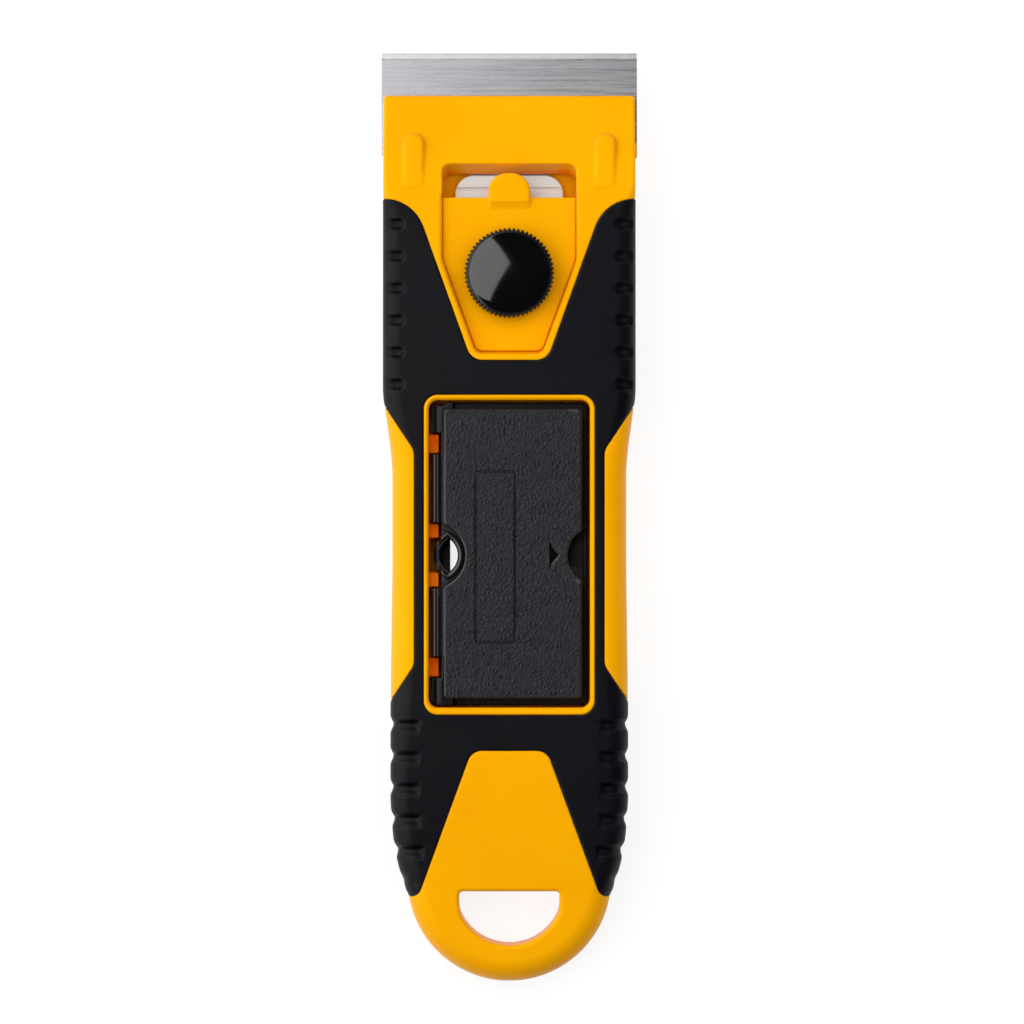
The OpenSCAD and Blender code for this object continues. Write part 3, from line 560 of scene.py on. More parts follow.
# Depths from the middle of an upper groove outwards, across a lower groove from its tail side to
# its head side, and across a notch in the side
UPPER_SHAPE = [(0, 1.15), (0.6, 1.15), (0.8, 1.02), (1.05, 0.62), (1.3, 0.2), (1.5, 0.04), (1.7, 0)]
LOWER_SHAPE = [(-2.5, 0), (-2.2, 0.06), (-1.85, 0.3), (-1.55, 0.16), (-1.2, 0.5), (-0.8, 0.85), (-0.4, 1.08),
               (0, 1.2), (0.3, 1.15), (0.6, 0.85), (0.9, 0.4), (1.15, 0.1), (1.4, 0)]
NOTCH_SHAPE = [(-2.2, 0), (-1.6, 0.1), (-0.9, 0.42), (-0.3, 0.68), (0, 0.72), (0.3, 0.68), (0.9, 0.42),
               (1.6, 0.1), (2.2, 0)]


def deepened(rubber, body, depth):
    """The rubber with its outer surface sunk by a depth."""
    return np.maximum(rubber, body + depth)


def notched(rubber, body, g, whole):
    """The rubber with its lower grooves, which run over the edge, and the notches in its side."""
    for place_y in LOWER_GROOVES + [LAST_NICK]:
        near = g.along_y(place_y - NEAR, place_y + NEAR)
        off, side = g.y[:, near] - place_y, float(along(place_y, SIDES))
        from_side = side - np.abs(g.x)
        notch = read_off(off, *zip(*NOTCH_SHAPE)) * (1.0 if place_y != LAST_NICK else NICK_SHARE)
        top = read_off(off, *zip(*LOWER_SHAPE)) if whole and place_y != LAST_NICK else 0 * off
        outer = np.clip((NOTCH_REACH - from_side) / NOTCH_FADE, 0, 1)
        inner = np.clip((LOWER_REACH - from_side) / LOWER_FADE, 0, 1)
        depth = outer * notch + (1 - outer) * np.sqrt(inner) * top
        rubber[:, near] = deepened(rubber[:, near], body[:, near], depth)
    return rubber


def rubber_skin(g):
    """The skin of rubber round the windows before its grooves, and the body under it."""
    body, bare = body_field(g), windows(g.x, g.y)
    return cut_to(np.maximum(body, -(body + RUBBER_T)), -bare, SEAM), body


def grip_front():
    g = Grid((-HEAD_W, GRIP_REAR_Y, SPLIT_Z), (HEAD_W, GRIP_FRONT_Y, GRIP_T))
    rubber, body = rubber_skin(g)
    for place_y in UPPER_GROOVES:
        near = g.along_y(place_y - NEAR, place_y + NEAR)
        side = float(along(place_y, SIDES))
        beyond = np.abs(g.x) - np.clip(np.abs(g.x), side - UPPER_IN, side)
        from_middle = np.hypot(beyond, g.y[:, near] - place_y)
        run_out = np.clip((side - UPPER_END - np.abs(g.x)) / UPPER_FADE, 0, 1)
        depth = read_off(from_middle, *zip(*UPPER_SHAPE)) * run_out
        rubber[:, near] = deepened(rubber[:, near], body[:, near], depth)
    rubber = notched(rubber, body, g, True)
    return sculpt("grip_front_skin", cut_to(rubber, SPLIT_Z - g.z, SPLIT_EDGE), g, 80000,
                  "handle", "grip_rubber", ["grip_front"])


def grip_back():
    g = Grid((-HEAD_W, GRIP_REAR_Y, 0), (HEAD_W, GRIP_FRONT_Y, SPLIT_Z))
    rubber, body = rubber_skin(g)
    rubber = notched(rubber, body, g, False)
    rubber = cut_away(rubber, screw_bores(g.x, g.y, SCREW_HEAD_R + 0.1), 0.3)
    return sculpt("grip_back_skin", cut_to(rubber, g.z - SPLIT_Z, SPLIT_EDGE), g, 50000,
                  "handle", "grip_rubber", ["grip_back"])


grip_front()
grip_back()

# %% [markdown]
# ## The clamp plate
#
# The V-shaped panel is the loose lever under the knob. A raised tab, as wide as a thumb, reaches
# over the slot from its front and slopes down to the panel behind. The same plan that cuts the well
# also cuts the panel, drawn in by the running gap.

# %% Make the clamp plate
PLATE_TOP, PLATE_T, RUN_GAP = 13.0, 3.0, 0.14
FINE_CELL = CELL * 2 / 3
TAB_W, TAB_FRONT_Y, TAB_CREST_Y, TAB_REAR_Y, TAB_TOP, TAB_Z = 4.9, 80.45, 73.9, 71.6, 14.1, 10.8
ARCH_R = 4.4
# Half width, rear, front and underside of the bearing round the pin and of the foot under the panel
BEARING, FOOT = (6.2, 39.55, 43.85, 7.0), (7.5, 50.45, 63.45, 6.25)
PIN_HOLE_R, STUD_HOLE_R = 1.3, 2.7
SLAB_R = 0.3


def slab(x, y, z, half_w, low_y, high_y, low_z, high_z):
    """A block with its middle on x = 0 and small fillets on its long edges."""
    thickness = np.abs(z - (low_z + high_z) / 2) - (high_z - low_z) / 2
    return cut_to(box_field(x, y, half_w, low_y, high_y, SLAB_R), thickness, SLAB_R)


def clamp_plate():
    g = Grid((-SLOT_W, VEE_Y + RIM_W, FOOT[3]), (SLOT_W, TAB_FRONT_Y, TAB_TOP + 0.3), FINE_CELL)
    panel = cut_to(well(g.x, g.y, RUN_GAP, 0.6, SLOT_Y - 0.3) + seat(g.z), g.z - PLATE_TOP, 0.3)
    panel = cut_to(panel, PLATE_TOP - PLATE_T - g.z, 0.2)
    for half_w, low_y, high_y, low_z in (BEARING, FOOT):
        panel = np.minimum(panel, slab(g.x, g.y, g.z, half_w, low_y, high_y, low_z, PLATE_TOP - 1.5))
    plan = arched_field(g.x, g.y, TAB_W, TAB_REAR_Y, TAB_FRONT_Y, 0.8, ARCH_R)
    tab_top = read_off(g.y, [TAB_REAR_Y, TAB_CREST_Y], [PLATE_TOP - 0.3, TAB_TOP])
    panel = join(panel, cut_to(cut_to(plan, g.z - tab_top, 0.8), TAB_Z - g.z, 0.4), 0.4)
    panel = cut_away(panel, ball_field(g.x, g.y - KNOB_Y, STUD_HOLE_R), 0.1)
    panel = np.maximum(panel, PIN_HOLE_R - np.hypot(g.y - PIN_Y, g.z - PIN_Z))
    return sculpt("clamp_panel", panel, g, 40000, "clamp", "yellow_plastic", ["clamp_plate"])


clamp_plate()

# %% [markdown]
# ## Blades
#
# A scraper blade is a strip of spring steel, ground to a long bevel on each edge and honed once more
# at the very tip. Where the grinding wheel stopped there is a fine line. One section, drawn once
# and run along the edge, makes the working blade and the five spares.

# %% Make the blades
BLADE_W, BLADE_D, BLADE_T, BEVEL_W = 60.0, 24.0, 0.45, 1.4
PEG_SPAN, PEG_HOLE_R = 36.0, 1.55
PEG_Y = -6.0


def blade_section():
    """The closed section of the blade across its two edges, as depth and height."""
    tip, half_t = BLADE_D / 2, BLADE_T / 2
    step, line_w = 0.05, 0.16
    honed = [(tip, half_t), (tip - 0.25, half_t + 0.06), (tip - BEVEL_W + line_w, BLADE_T - step / 2),
             (tip - BEVEL_W, BLADE_T - step), (tip - BEVEL_W - 0.04, BLADE_T)]
    upper = honed + [(-y, z) for y, z in reversed(honed)]
    return upper + [(y, BLADE_T - z) for y, z in reversed(upper[1:-1])]


def drill(piece, places, r):
    """Round holes straight through a flat piece."""
    bm = bmesh.new()
    for x, y in places:
        made = bmesh.ops.create_cone(bm, cap_ends=True, segments=48, radius1=r * MM, radius2=r * MM,
                                     depth=4 * MM)
        bmesh.ops.translate(bm, verts=made["verts"], vec=(x * MM, y * MM, 0))
    tool_mesh = bpy.data.meshes.new("drill")
    bm.to_mesh(tool_mesh)
    bm.free()
    tool = bpy.data.objects.new("drill", tool_mesh)
    bpy.context.scene.collection.objects.link(tool)
    hole = piece.modifiers.new("holes", "BOOLEAN")
    hole.object, hole.solver = tool, "EXACT"
    bake_modifiers(piece)
    bpy.data.objects.remove(tool)
    bpy.data.meshes.remove(tool_mesh)


def blade_mesh():
    """One blade with its middle at the origin and its edges along X, in a mesh of its own."""
    bm = bmesh.new()
    columns = [[bm.verts.new((x * MM, y * MM, z * MM)) for y, z in blade_section()]
               for x in (-BLADE_W / 2, BLADE_W / 2)]
    n = len(columns[0])
    for j in range(n):
        bm.faces.new([columns[0][j], columns[0][(j + 1) % n], columns[1][(j + 1) % n], columns[1][j]])
    bm.faces.new(columns[0][::-1])
    bm.faces.new(columns[1])
    bmesh.ops.recalc_face_normals(bm, faces=bm.faces)
    mesh = bpy.data.meshes.new("blade")
    bm.to_mesh(mesh)
    bm.free()
    blank = bpy.data.objects.new("blank", mesh)
    bpy.context.scene.collection.objects.link(blank)
    drill(blank, [(-PEG_SPAN / 2, PEG_Y), (PEG_SPAN / 2, PEG_Y)], PEG_HOLE_R)
    shaped = blank.data
    bpy.data.objects.remove(blank)
    return shaped


def lay_blade(name, shape, node, body, turned):
    """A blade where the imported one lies, turned across or along the handle."""
    at, to = node_box(node)
    mesh = shape.copy()
    turn = Matrix.Rotation(math.radians(90), 4, "Z") if turned else Matrix.Identity(4)
    middle = Vector(((at[0] + to[0]) / 2, (at[1] + to[1]) / 2, at[2])) * MM
    mesh.transform(Matrix.Translation(middle) @ turn)
    return place(name, mesh, body, "blade_steel", [node])


blade_shape = blade_mesh()
blades = [lay_blade("working_blade", blade_shape, "scraper_blade", "carriage", False)]
blades += [lay_blade(f"stored_blade_{i}", blade_shape, f"spare_blade_{i}", "case", True) for i in range(1, 6)]
print("blade faces:", len(blade_shape.polygons))

# %% [markdown]
# ## The slide plate
#
# Through the slot shows a polished plate with an arched front and a pressed line across it. It is
# less than a millimetre thick, so its field needs a finer grid.

# %% Make the slide plate
PRESSED_OFF, PRESSED_R = 3.2, 0.32
# The slot that the knob's stud passes through, with room for the whole stroke of the blade
STUD_SLOT_W, STROKE_ROOM = 2.4, 12.5


def slide_plate():
    low, high = node_box("slide_plate")
    g = Grid(low, high, CELL / 2)
    plan = arched_field(g.x, g.y, high[0], low[1], high[1], 1.0, ARCH_R)
    plate = cut_to(plan, np.abs(g.z - (low[2] + high[2]) / 2) - (high[2] - low[2]) / 2, 0.15)
    pressed_line = ball_field(g.y - (high[1] - PRESSED_OFF), g.z - high[2] - 0.1, PRESSED_R)
    plate = cut_away(plate, pressed_line, 0.1)
    stud_slot = box_field(g.x, g.y, STUD_SLOT_W, KNOB_Y - STUD_SLOT_W, KNOB_Y + STROKE_ROOM, 1.9)
    return sculpt("arched_plate", cut_away(plate, stud_slot, 0.1), g, 16000,
                  "carriage", "polished_steel", ["slide_plate"])


slide_plate()

# %% [markdown]
# ## The knob
#
# The knob is turned, so its mesh is a stack of rings: up the bore, out over the foot, up the knurl and
# over the glossy dome. Only the rings of the knurl leave the circle, by a cosine for each tooth.

# %% Make the knob
KNOB_R, TOOTH_D, TEETH, TOOTH_STEPS = 10.5, 0.6, 60, 8
DOME_R, KNURL_TOP, STUD_R, BORE_TOP = 9.35, 3.8, 2.0, 4.09
DOME_START, DOME_END, DOME_STEPS = math.radians(28), math.radians(89.6), 22


def knob_rings():
    """Radius, height and depth of the teeth for each ring, from the top of the bore to the dome's top."""
    rings = [(0.02, BORE_TOP, 0), (STUD_R, BORE_TOP, 0), (STUD_R, 0.2, 0), (STUD_R + 0.2, 0, 0),
             (KNOB_R - 0.9, 0, 0), (KNOB_R - 0.25, 0.12, 0.35), (KNOB_R, 0.45, 1),
             (KNOB_R, KNURL_TOP - 0.75, 1), (KNOB_R - 0.12, KNURL_TOP - 0.38, 0.9),
             (KNOB_R - 0.42, KNURL_TOP - 0.12, 0.5), (KNOB_R - 0.8, KNURL_TOP - 0.02, 0.1),
             (DOME_R + 0.1, KNURL_TOP - 0.01, 0)]
    top_z = node_box("knob")[1][2] - node_box("knob")[0][2]
    low_sin = math.sin(DOME_START)
    for a in np.linspace(DOME_START, DOME_END, DOME_STEPS):
        up = (top_z - KNURL_TOP) * (math.sin(a) - low_sin) / (1 - low_sin)
        rings.append((DOME_R * math.cos(a) / math.cos(DOME_START), KNURL_TOP + up, 0))
    return rings


def knob():
    foot_z = node_box("knob")[0][2]
    n = TEETH * TOOTH_STEPS
    a = 2 * math.pi * np.arange(n) / n
    tooth = (0.5 - 0.5 * np.cos(TEETH * a)) ** 1.6
    points = []
    for r, z, deep in knob_rings():
        reach = r - TOOTH_D * deep * tooth
        points.append(np.stack([reach * np.cos(a), KNOB_Y + reach * np.sin(a), np.full(n, foot_z + z)], 1))
    rows = len(points)
    i, j = np.meshgrid(np.arange(rows - 1), np.arange(n), indexing="ij")
    k = (j + 1) % n
    quads = np.stack([i * n + j, i * n + k, (i + 1) * n + k, (i + 1) * n + j], -1).reshape(-1, 4)
    mesh = mesh_from("knob", np.concatenate(points), quads)
    bm = bmesh.new()
    bm.from_mesh(mesh)
    bmesh.ops.remove_doubles(bm, verts=bm.verts, dist=0.003 * MM)
    bmesh.ops.holes_fill(bm, edges=[e for e in bm.edges if e.is_boundary])
    bmesh.ops.recalc_face_normals(bm, faces=bm.faces)
    bm.to_mesh(mesh)
    bm.free()
    piece = place("knurled_knob", mesh, "knob", "knob_plastic", ["knob"])
    shade(piece)
    print("knob faces:", len(piece.data.polygons))
    return piece


knurled_knob = knob()

# %% [markdown]
# ## The case of spare blades
#
# The case is a thin-walled tray with a lid. Its left wall carries the seats of the two hinge
# barrels, and between them stands the wall of the see-through eye. The lid is notched round the eye
# and again on the right, for the thumb. A small catch below that notch keeps the blades in.

# %% Make the tray
CASE_Z, CASE_TOP, LID_Z, LID_TOP = 4.5, 13.75, 13.9, 15.5
CASE_LEFT, CASE_RIGHT, LUG_LEFT = -15.9, 18.4, -18.1
CASE_REAR_Y, CASE_FRONT_Y = -44.05, 26.8
BARREL_X, BARREL_Z, BARREL_R, BARREL_L, BARREL_OFF = -16.95, 14.7, 1.05, 15.9, 15.65
EYE_X, EYE_R, EYE_HALF, EYE_WALL, EYE_TOP = -14.3, 4.68, 2.25, 1.25, 15.3
SHELF_X, SHELF_TOP = -13.9, 5.6
# The corner lugs and the barrel seats: their middle and half width, and how far off the middle they lie
LUG_X, LUG_W, LUG_FROM, LUG_TO, CRADLE_Z = -16.1, 2.0, 28.6, 35.1, 11.3
CRADLE_FROM, CRADLE_TO = BARREL_OFF - BARREL_L / 2, BARREL_OFF + BARREL_L / 2
LID_RIGHT, LID_FRONT_Y, LID_REAR_Y = 17.0, 25.35, -42.45
LOW_RIM_X, LOW_RIM_W, LOW_RIM_Z = 0.5, 16.4, 10.5
STORE_X, STORE_W, STORE_L, STORE_Z = 3, 12.6, 30.6, 5.7
THUMB_X, THUMB_R, THUMB_Z, CATCH_Z, CATCH_T = 20.35, 6.7, 9, 8.85, 0.8


def eye(x, y, t):
    """The lens-shaped hole of the case, or its wall where t is the wall's thickness."""
    off = EYE_R - EYE_HALF
    return np.maximum(ball_field(x - EYE_X - off, y - BAY_Y, EYE_R + t),
                      ball_field(x - EYE_X + off, y - BAY_Y, EYE_R + t))


def tray():
    g = Grid((LUG_LEFT, CASE_REAR_Y, CASE_Z), (CASE_RIGHT, CASE_FRONT_Y, EYE_TOP), FINE_CELL)
    middle, half_w = (CASE_LEFT + CASE_RIGHT) / 2, (CASE_RIGHT - CASE_LEFT) / 2
    case = cut_to(box_field(g.x - middle, g.y, half_w, CASE_REAR_Y, CASE_FRONT_Y, 1.8), g.z - CASE_TOP, 0.3)
    off = np.abs(g.y - BAY_Y)
    lugs = slab(g.x - LUG_X, off, g.z, LUG_W, LUG_FROM, LUG_TO, CASE_Z, CASE_TOP)
    cradles = slab(g.x - LUG_X, off, g.z, LUG_W, CRADLE_FROM, CRADLE_TO, CRADLE_Z, CASE_TOP)
    case = np.minimum.reduce([case, lugs, cradles])
    case = join(case, cut_to(eye(g.x, g.y, EYE_WALL), g.z - EYE_TOP, 0.45), 0.15)
    case = cut_away(case, np.maximum(eye(g.x, g.y, 0), np.minimum(SHELF_X - g.x, SHELF_TOP - g.z)), 0.9)
    below_lid = box_field(g.x - LOW_RIM_X, g.y, LOW_RIM_W, LID_REAR_Y + 0.3, LID_FRONT_Y - 0.3, 1.2)
    lowered = np.maximum(LOW_RIM_Z - g.z, -below_lid)
    case = cut_away(case, np.maximum(lowered, LUG_LEFT + 5 - g.x), 0.2)
    thumb = ball_field(g.x - THUMB_X, g.y - BAY_Y, THUMB_R - 0.2)
    case = cut_away(case, np.maximum(thumb, THUMB_Z - g.z), 0.3)
    store = box_field(g.x - STORE_X, g.y, STORE_W, BAY_Y - STORE_L, BAY_Y + STORE_L, 0.5)
    case = cut_away(case, np.maximum(store, STORE_Z - g.z), 0.2)
    catch = ball_field(g.x - THUMB_X, g.y - BAY_Y, THUMB_R + 0.6)
    catch = cut_to(catch, np.abs(g.z - CATCH_Z) - CATCH_T / 2, 0.2)
    case = np.minimum(case, np.maximum(catch, g.x - CASE_RIGHT + 1))
    case = np.maximum(case, BARREL_R + 0.15 - np.hypot(g.x - BARREL_X, g.z - BARREL_Z))
    return sculpt("case_tray", cut_to(case, CASE_Z - g.z, 0.3), g, 36000, "case", "case_plastic",
                  ["case_base"])


case_tray = tray()

# %% Make the lid
LID_LEFT, ARC_X, ARC_R = -15.3, -18, 7.6
ARROW_X, ARROW_W, ARROW_L, ARROW_D = 9.5, 2.5, 5.8, 0.5
FRAME_LEFT, FRAME_RIGHT, FRAME_FRONT_Y, FRAME_REAR_Y, FRAME_R = -7.8, 1.4, 10.5, -29.3, 0.6
FRAME_LINE_W, FRAME_LINE_D = 0.44, 0.35
WEB_W, WEB_T = 2, 0.9
FILM_GROOVES, FILM_W, FILM_D = (-17.05, -15.75), 0.4, 0.75


def lid():
    g = Grid((BARREL_X - BARREL_R, LID_REAR_Y, BARREL_Z - BARREL_R),
             (LID_RIGHT, LID_FRONT_Y, BARREL_Z + BARREL_R), FINE_CELL)
    middle, half_w = (LID_LEFT + LID_RIGHT) / 2, (LID_RIGHT - LID_LEFT) / 2
    top = cut_to(box_field(g.x - middle, g.y, half_w, LID_REAR_Y, LID_FRONT_Y, 1.2), g.z - LID_TOP, 0.5)
    top = cut_to(top, LID_Z - g.z, 0.2)
    top = cut_away(top, ball_field(g.x - ARC_X, g.y - BAY_Y, ARC_R), 0.6)
    top = cut_away(top, ball_field(g.x - THUMB_X, g.y - BAY_Y, THUMB_R), 0.35)
    arrow = outline_field(g.x, g.y, [(ARROW_X, BAY_Y - ARROW_L / 2), (ARROW_X + ARROW_W, BAY_Y),
                                     (ARROW_X, BAY_Y + ARROW_L / 2)])
    top = cut_away(top, np.maximum(arrow, LID_TOP - ARROW_D - g.z), 0.1)
    middle, half_w = (FRAME_LEFT + FRAME_RIGHT) / 2, (FRAME_RIGHT - FRAME_LEFT) / 2
    frame_plan = box_field(g.x - middle, g.y, half_w, FRAME_REAR_Y, FRAME_FRONT_Y, FRAME_R)
    frame_line = np.abs(frame_plan) - FRAME_LINE_W / 2
    top = cut_away(top, np.maximum(frame_line, LID_TOP - FRAME_LINE_D - g.z), 0.1)
    off = np.abs(g.y - BAY_Y) - BARREL_OFF
    barrels = cut_to(np.hypot(g.x - BARREL_X, g.z - BARREL_Z) - BARREL_R, np.abs(off) - BARREL_L / 2, 0.2)
    webs = np.maximum(np.abs(g.x - BARREL_X - WEB_W / 2) - WEB_W / 2, np.abs(g.z - BARREL_Z) - WEB_T / 2)
    webs = np.maximum(webs, np.abs(off) - BARREL_L / 2)
    top = join(top, np.minimum(barrels, webs), 0.1)
    for film_x in FILM_GROOVES:
        top = cut_away(top, np.maximum(np.abs(g.x - film_x) - FILM_W / 2, LID_TOP - FILM_D - g.z), 0.12)
    return sculpt("grained_lid", top, g, 36000, "lid", "case_plastic", ["case_lid"])


grained_lid = lid()

# %% [markdown]
# ## Effects that the finishes share
#
# The finishes of this tool come from a few effects: the fine skin of a spark-eroded mould, the plump
# cells of a leather grain, the drawn-out lines of grinding, and the marks of handling together with
# painted light, which is a painted highlight on convex edges and painted shade in hollows. Each effect
# is a node group that gives a height or a mask, and each material places it with its own values. The
# groups work in millimetres of the object itself, so a texture stays put whatever moves.

# %% Helpers for shader nodes
def add(tree, kind, settings=(), inputs=()):
    """A shader node with its settings made and its inputs set, or linked where a socket is given."""
    made = tree.nodes.new("ShaderNode" + kind)
    for key, value in dict(settings).items():
        setattr(made, key, value)
    for key, value in dict(inputs).items():
        if isinstance(value, bpy.types.NodeSocket):
            tree.links.new(value, made.inputs[key])
        else:
            made.inputs[key].default_value = value
    return made


def calc(tree, operation, a, b=0.0):
    """One step of arithmetic on values that change over the surface."""
    return add(tree, "Math", {"operation": operation}, {0: a, 1: b}).outputs[0]


def spread(tree, value, low, high, to_low=0.0, to_high=1.0):
    """A value mapped smoothly from one range to another and held there."""
    settings = {"interpolation_type": "SMOOTHSTEP"}
    return add(tree, "MapRange", settings, {0: value, 1: low, 2: high, 3: to_low, 4: to_high}).outputs[0]


def effect(name, inputs, outputs):
    """A new node group with named inputs and outputs, and the place on the object in millimetres."""
    tree = bpy.data.node_groups.new(name, "ShaderNodeTree")
    for label, value in inputs.items():
        kind = "NodeSocketVector" if isinstance(value, tuple) else "NodeSocketFloat"
        tree.interface.new_socket(label, in_out="INPUT", socket_type=kind).default_value = value
    for label in outputs:
        tree.interface.new_socket(label, in_out="OUTPUT", socket_type="NodeSocketFloat")
    place = add(tree, "TexCoord").outputs["Object"]
    in_mm = add(tree, "VectorMath", {"operation": "SCALE"}, {0: place, "Scale": 1 / MM}).outputs[0]
    return tree, tree.nodes.new("NodeGroupInput").outputs, tree.nodes.new("NodeGroupOutput").inputs, in_mm


def noise(tree, place, scale, detail=2.0, roughness=0.5):
    inputs = {"Vector": place, "Scale": scale, "Detail": detail, "Roughness": roughness}
    return add(tree, "TexNoise", {}, inputs).outputs[0]


# %% Build the four effects
def moulded_skin():
    """A mould's fine texture, and the slow drift of tone where the melt flowed."""
    tree, given, out, place = effect("moulded_skin", {"Fineness": 3.0}, ["Height", "Tone"])
    tree.links.new(noise(tree, place, given["Fineness"], 3.0, 0.65), out["Height"])
    tree.links.new(spread(tree, noise(tree, place, 0.05, 3.0, 0.6), 0.3, 0.7), out["Tone"])
    return tree


def leather_grain():
    """Plump cells with creases between them, uneven in size and shape."""
    tree, given, out, place = effect("leather_grain", {"Cells": 1.2, "Crease": 0.25}, ["Height", "Tone"])
    bend = add(tree, "TexNoise", {}, {"Vector": place, "Scale": 0.9, "Detail": 2.0}).outputs[1]
    bent = add(tree, "VectorMath", {"operation": "MULTIPLY_ADD"},
               {0: bend, 1: (0.7, 0.7, 0.7), 2: place}).outputs[0]
    spots = {"Vector": bent, "Scale": given["Cells"]}
    to_crease = add(tree, "TexVoronoi", {"feature": "DISTANCE_TO_EDGE"}, spots).outputs[0]
    plump = spread(tree, to_crease, 0.0, given["Crease"])
    pores = noise(tree, place, 6.0, 2.0, 0.6)
    tree.links.new(calc(tree, "ADD", plump, calc(tree, "MULTIPLY", pores, 0.4)), out["Height"])
    colour = add(tree, "TexVoronoi", {}, spots).outputs[1]
    tree.links.new(add(tree, "SeparateColor", {}, {0: colour}).outputs[0], out["Tone"])
    return tree


def grinding():
    """Fine lines drawn out along the way that the wheel or the cloth ran."""
    tree, given, out, place = effect("grinding", {"Stretch": (1.0, 1.0, 1.0)}, ["Height", "Tone"])
    drawn = add(tree, "VectorMath", {"operation": "MULTIPLY"}, {0: place, 1: given["Stretch"]}).outputs[0]
    tree.links.new(noise(tree, drawn, 1.0, 4.0, 0.7), out["Height"])
    tree.links.new(spread(tree, noise(tree, drawn, 0.35, 2.0), 0.3, 0.7), out["Tone"])
    return tree


def handling_and_painted_light():
    """Marks of use and painted light: convex edges lighter from rubbing and from a painted highlight, thin
    scuffs, and painted shade in the hollows.
    """
    tree, given, out, place = effect("handling_and_painted_light", {"Scuffing": 0.62}, ["Edges", "Scuffs", "PaintedHollowShade"])
    shape = add(tree, "NewGeometry").outputs["Pointiness"]
    patches = spread(tree, noise(tree, place, 0.12, 3.0, 0.6), 0.4, 0.62)
    # Convex edges: a mask for rubbed wear and for a painted highlight
    tree.links.new(calc(tree, "MULTIPLY", spread(tree, shape, 0.505, 0.55), patches), out["Edges"])
    slanted = add(tree, "Mapping", {}, {"Vector": place, "Rotation": (0.3, 0.2, 0.7),
                                        "Scale": (0.25, 4.0, 1.0)}).outputs[0]
    lines = noise(tree, slanted, 1.0, 3.0, 0.6)
    scratches = spread(tree, lines, given["Scuffing"], 0.8)
    tree.links.new(calc(tree, "MULTIPLY", scratches, patches), out["Scuffs"])
    # Painted shade: a mask of the hollows, where shade would fall
    tree.links.new(spread(tree, shape, 0.495, 0.45), out["PaintedHollowShade"])
    return tree


EFFECTS = {made.name: made for made in (moulded_skin(), leather_grain(), grinding(), handling_and_painted_light())}
print("effects:", sorted(EFFECTS))

# %% [markdown]
# ## Finishes
#
# Each of the record's seven material slots gets one finish, and some pieces a second one, on the faces
# where the real surface changes and on faces where shade is painted on. Values that are the same all
# over sit on the shader itself. Only what changes over the surface comes in through nodes: the colour
# between two near shades, the marks of handling and of painted light over it, the roughness between
# two limits, and a height for the bump.

# %% Helpers for finishes
def use(tree, name, **values):
    """One of the shared effects, placed in a material with its own values."""
    placed = tree.nodes.new("ShaderNodeGroup")
    placed.node_tree = EFFECTS[name]
    for key, value in values.items():
        placed.inputs[key].default_value = value
    return placed.outputs


def blend_colour(tree, mask, a, b):
    """A colour between two others, or between a colour made earlier and a new one."""
    mix = add(tree, "Mix", {"data_type": "RGBA"}, {"Factor": mask})
    for socket, value in ((mix.inputs[6], a), (mix.inputs[7], b)):
        if isinstance(value, bpy.types.NodeSocket):
            tree.links.new(value, socket)
        else:
            socket.default_value = (*value, 1)
    return mix.outputs[2]


def surface(name, uniform, texture, given, scuffing, tones, wear_and_light_marks, rough, scuffed, depth_mm):
    """A finish of two near shades with a fine relief, and marks of handling and of painted light on top.

    The texture is one of the shared effects, and given holds its values. Each mark has its share and
    its colour, and the marks are wear and painted light. A scuff adds as much roughness as scuffed says.
    """
    made = bpy.data.materials.new(name)
    made.use_nodes = True
    tree = made.node_tree
    shader = tree.nodes["Principled BSDF"]
    for key, value in uniform.items():
        shader.inputs[key].default_value = value
    pattern, wear_and_painted_light = use(tree, texture, **given), use(tree, "handling_and_painted_light", Scuffing=scuffing)
    colour = blend_colour(tree, pattern["Tone"], *tones)
    for mark, share, mark_shade in wear_and_light_marks:
        colour = blend_colour(tree, calc(tree, "MULTIPLY", wear_and_painted_light[mark], share), colour, mark_shade)
    tree.links.new(colour, shader.inputs["Base Color"])
    roughness = spread(tree, pattern["Tone"], 0, 1, *rough)
    if scuffed:
        roughness = calc(tree, "ADD", roughness, calc(tree, "MULTIPLY", wear_and_painted_light["Scuffs"], scuffed))
    tree.links.new(roughness, shader.inputs["Roughness"])
    relief = {"Height": pattern["Height"], "Distance": depth_mm * MM, "Strength": 1.0}
    tree.links.new(add(tree, "Bump", {}, relief).outputs[0], shader.inputs["Normal"])
    return made


# %% Make the plastics
def plastic(name, specular, fineness, scuffing, tones, wear_and_light_marks, rough, scuffed, depth_mm, **more):
    """A plastic with the fine skin of its mould."""
    uniform = {"Specular IOR Level": specular, **more}
    return surface(name, uniform, "moulded_skin", {"Fineness": fineness}, scuffing, tones, wear_and_light_marks, rough,
                   scuffed, depth_mm)


def yellow(name, tones):
    """The satin yellow. Its highlights are tinted too, or they would wash out this deep colour."""
    # Painted light: the deeper orange in hollows is painted shade, and the lighter yellow on convex edges is
    # a painted highlight
    wear_and_light_marks = [("PaintedHollowShade", 0.35, (0.75, 0.2, 0.001)), ("Edges", 0.25, (1.0, 0.52, 0.03))]
    return plastic(name, 0.3, 2.6, 0.66, tones, wear_and_light_marks, (0.36, 0.42), 0.12, 0.012,
                   **{"Specular Tint": (1, 0.6, 0.03, 1)})


def smooth(name, specular):
    """Black plastic from a smooth part of the mould."""
    # The lighter grey on convex edges is partly rubbed wear and partly a painted highlight
    return plastic(name, specular, 3.0, 0.64, [(0.003, 0.003, 0.004), (0.005, 0.005, 0.0065)],
                   [("Edges", 0.4, (0.05, 0.05, 0.06))], (0.28, 0.36), 0.15, 0.008)


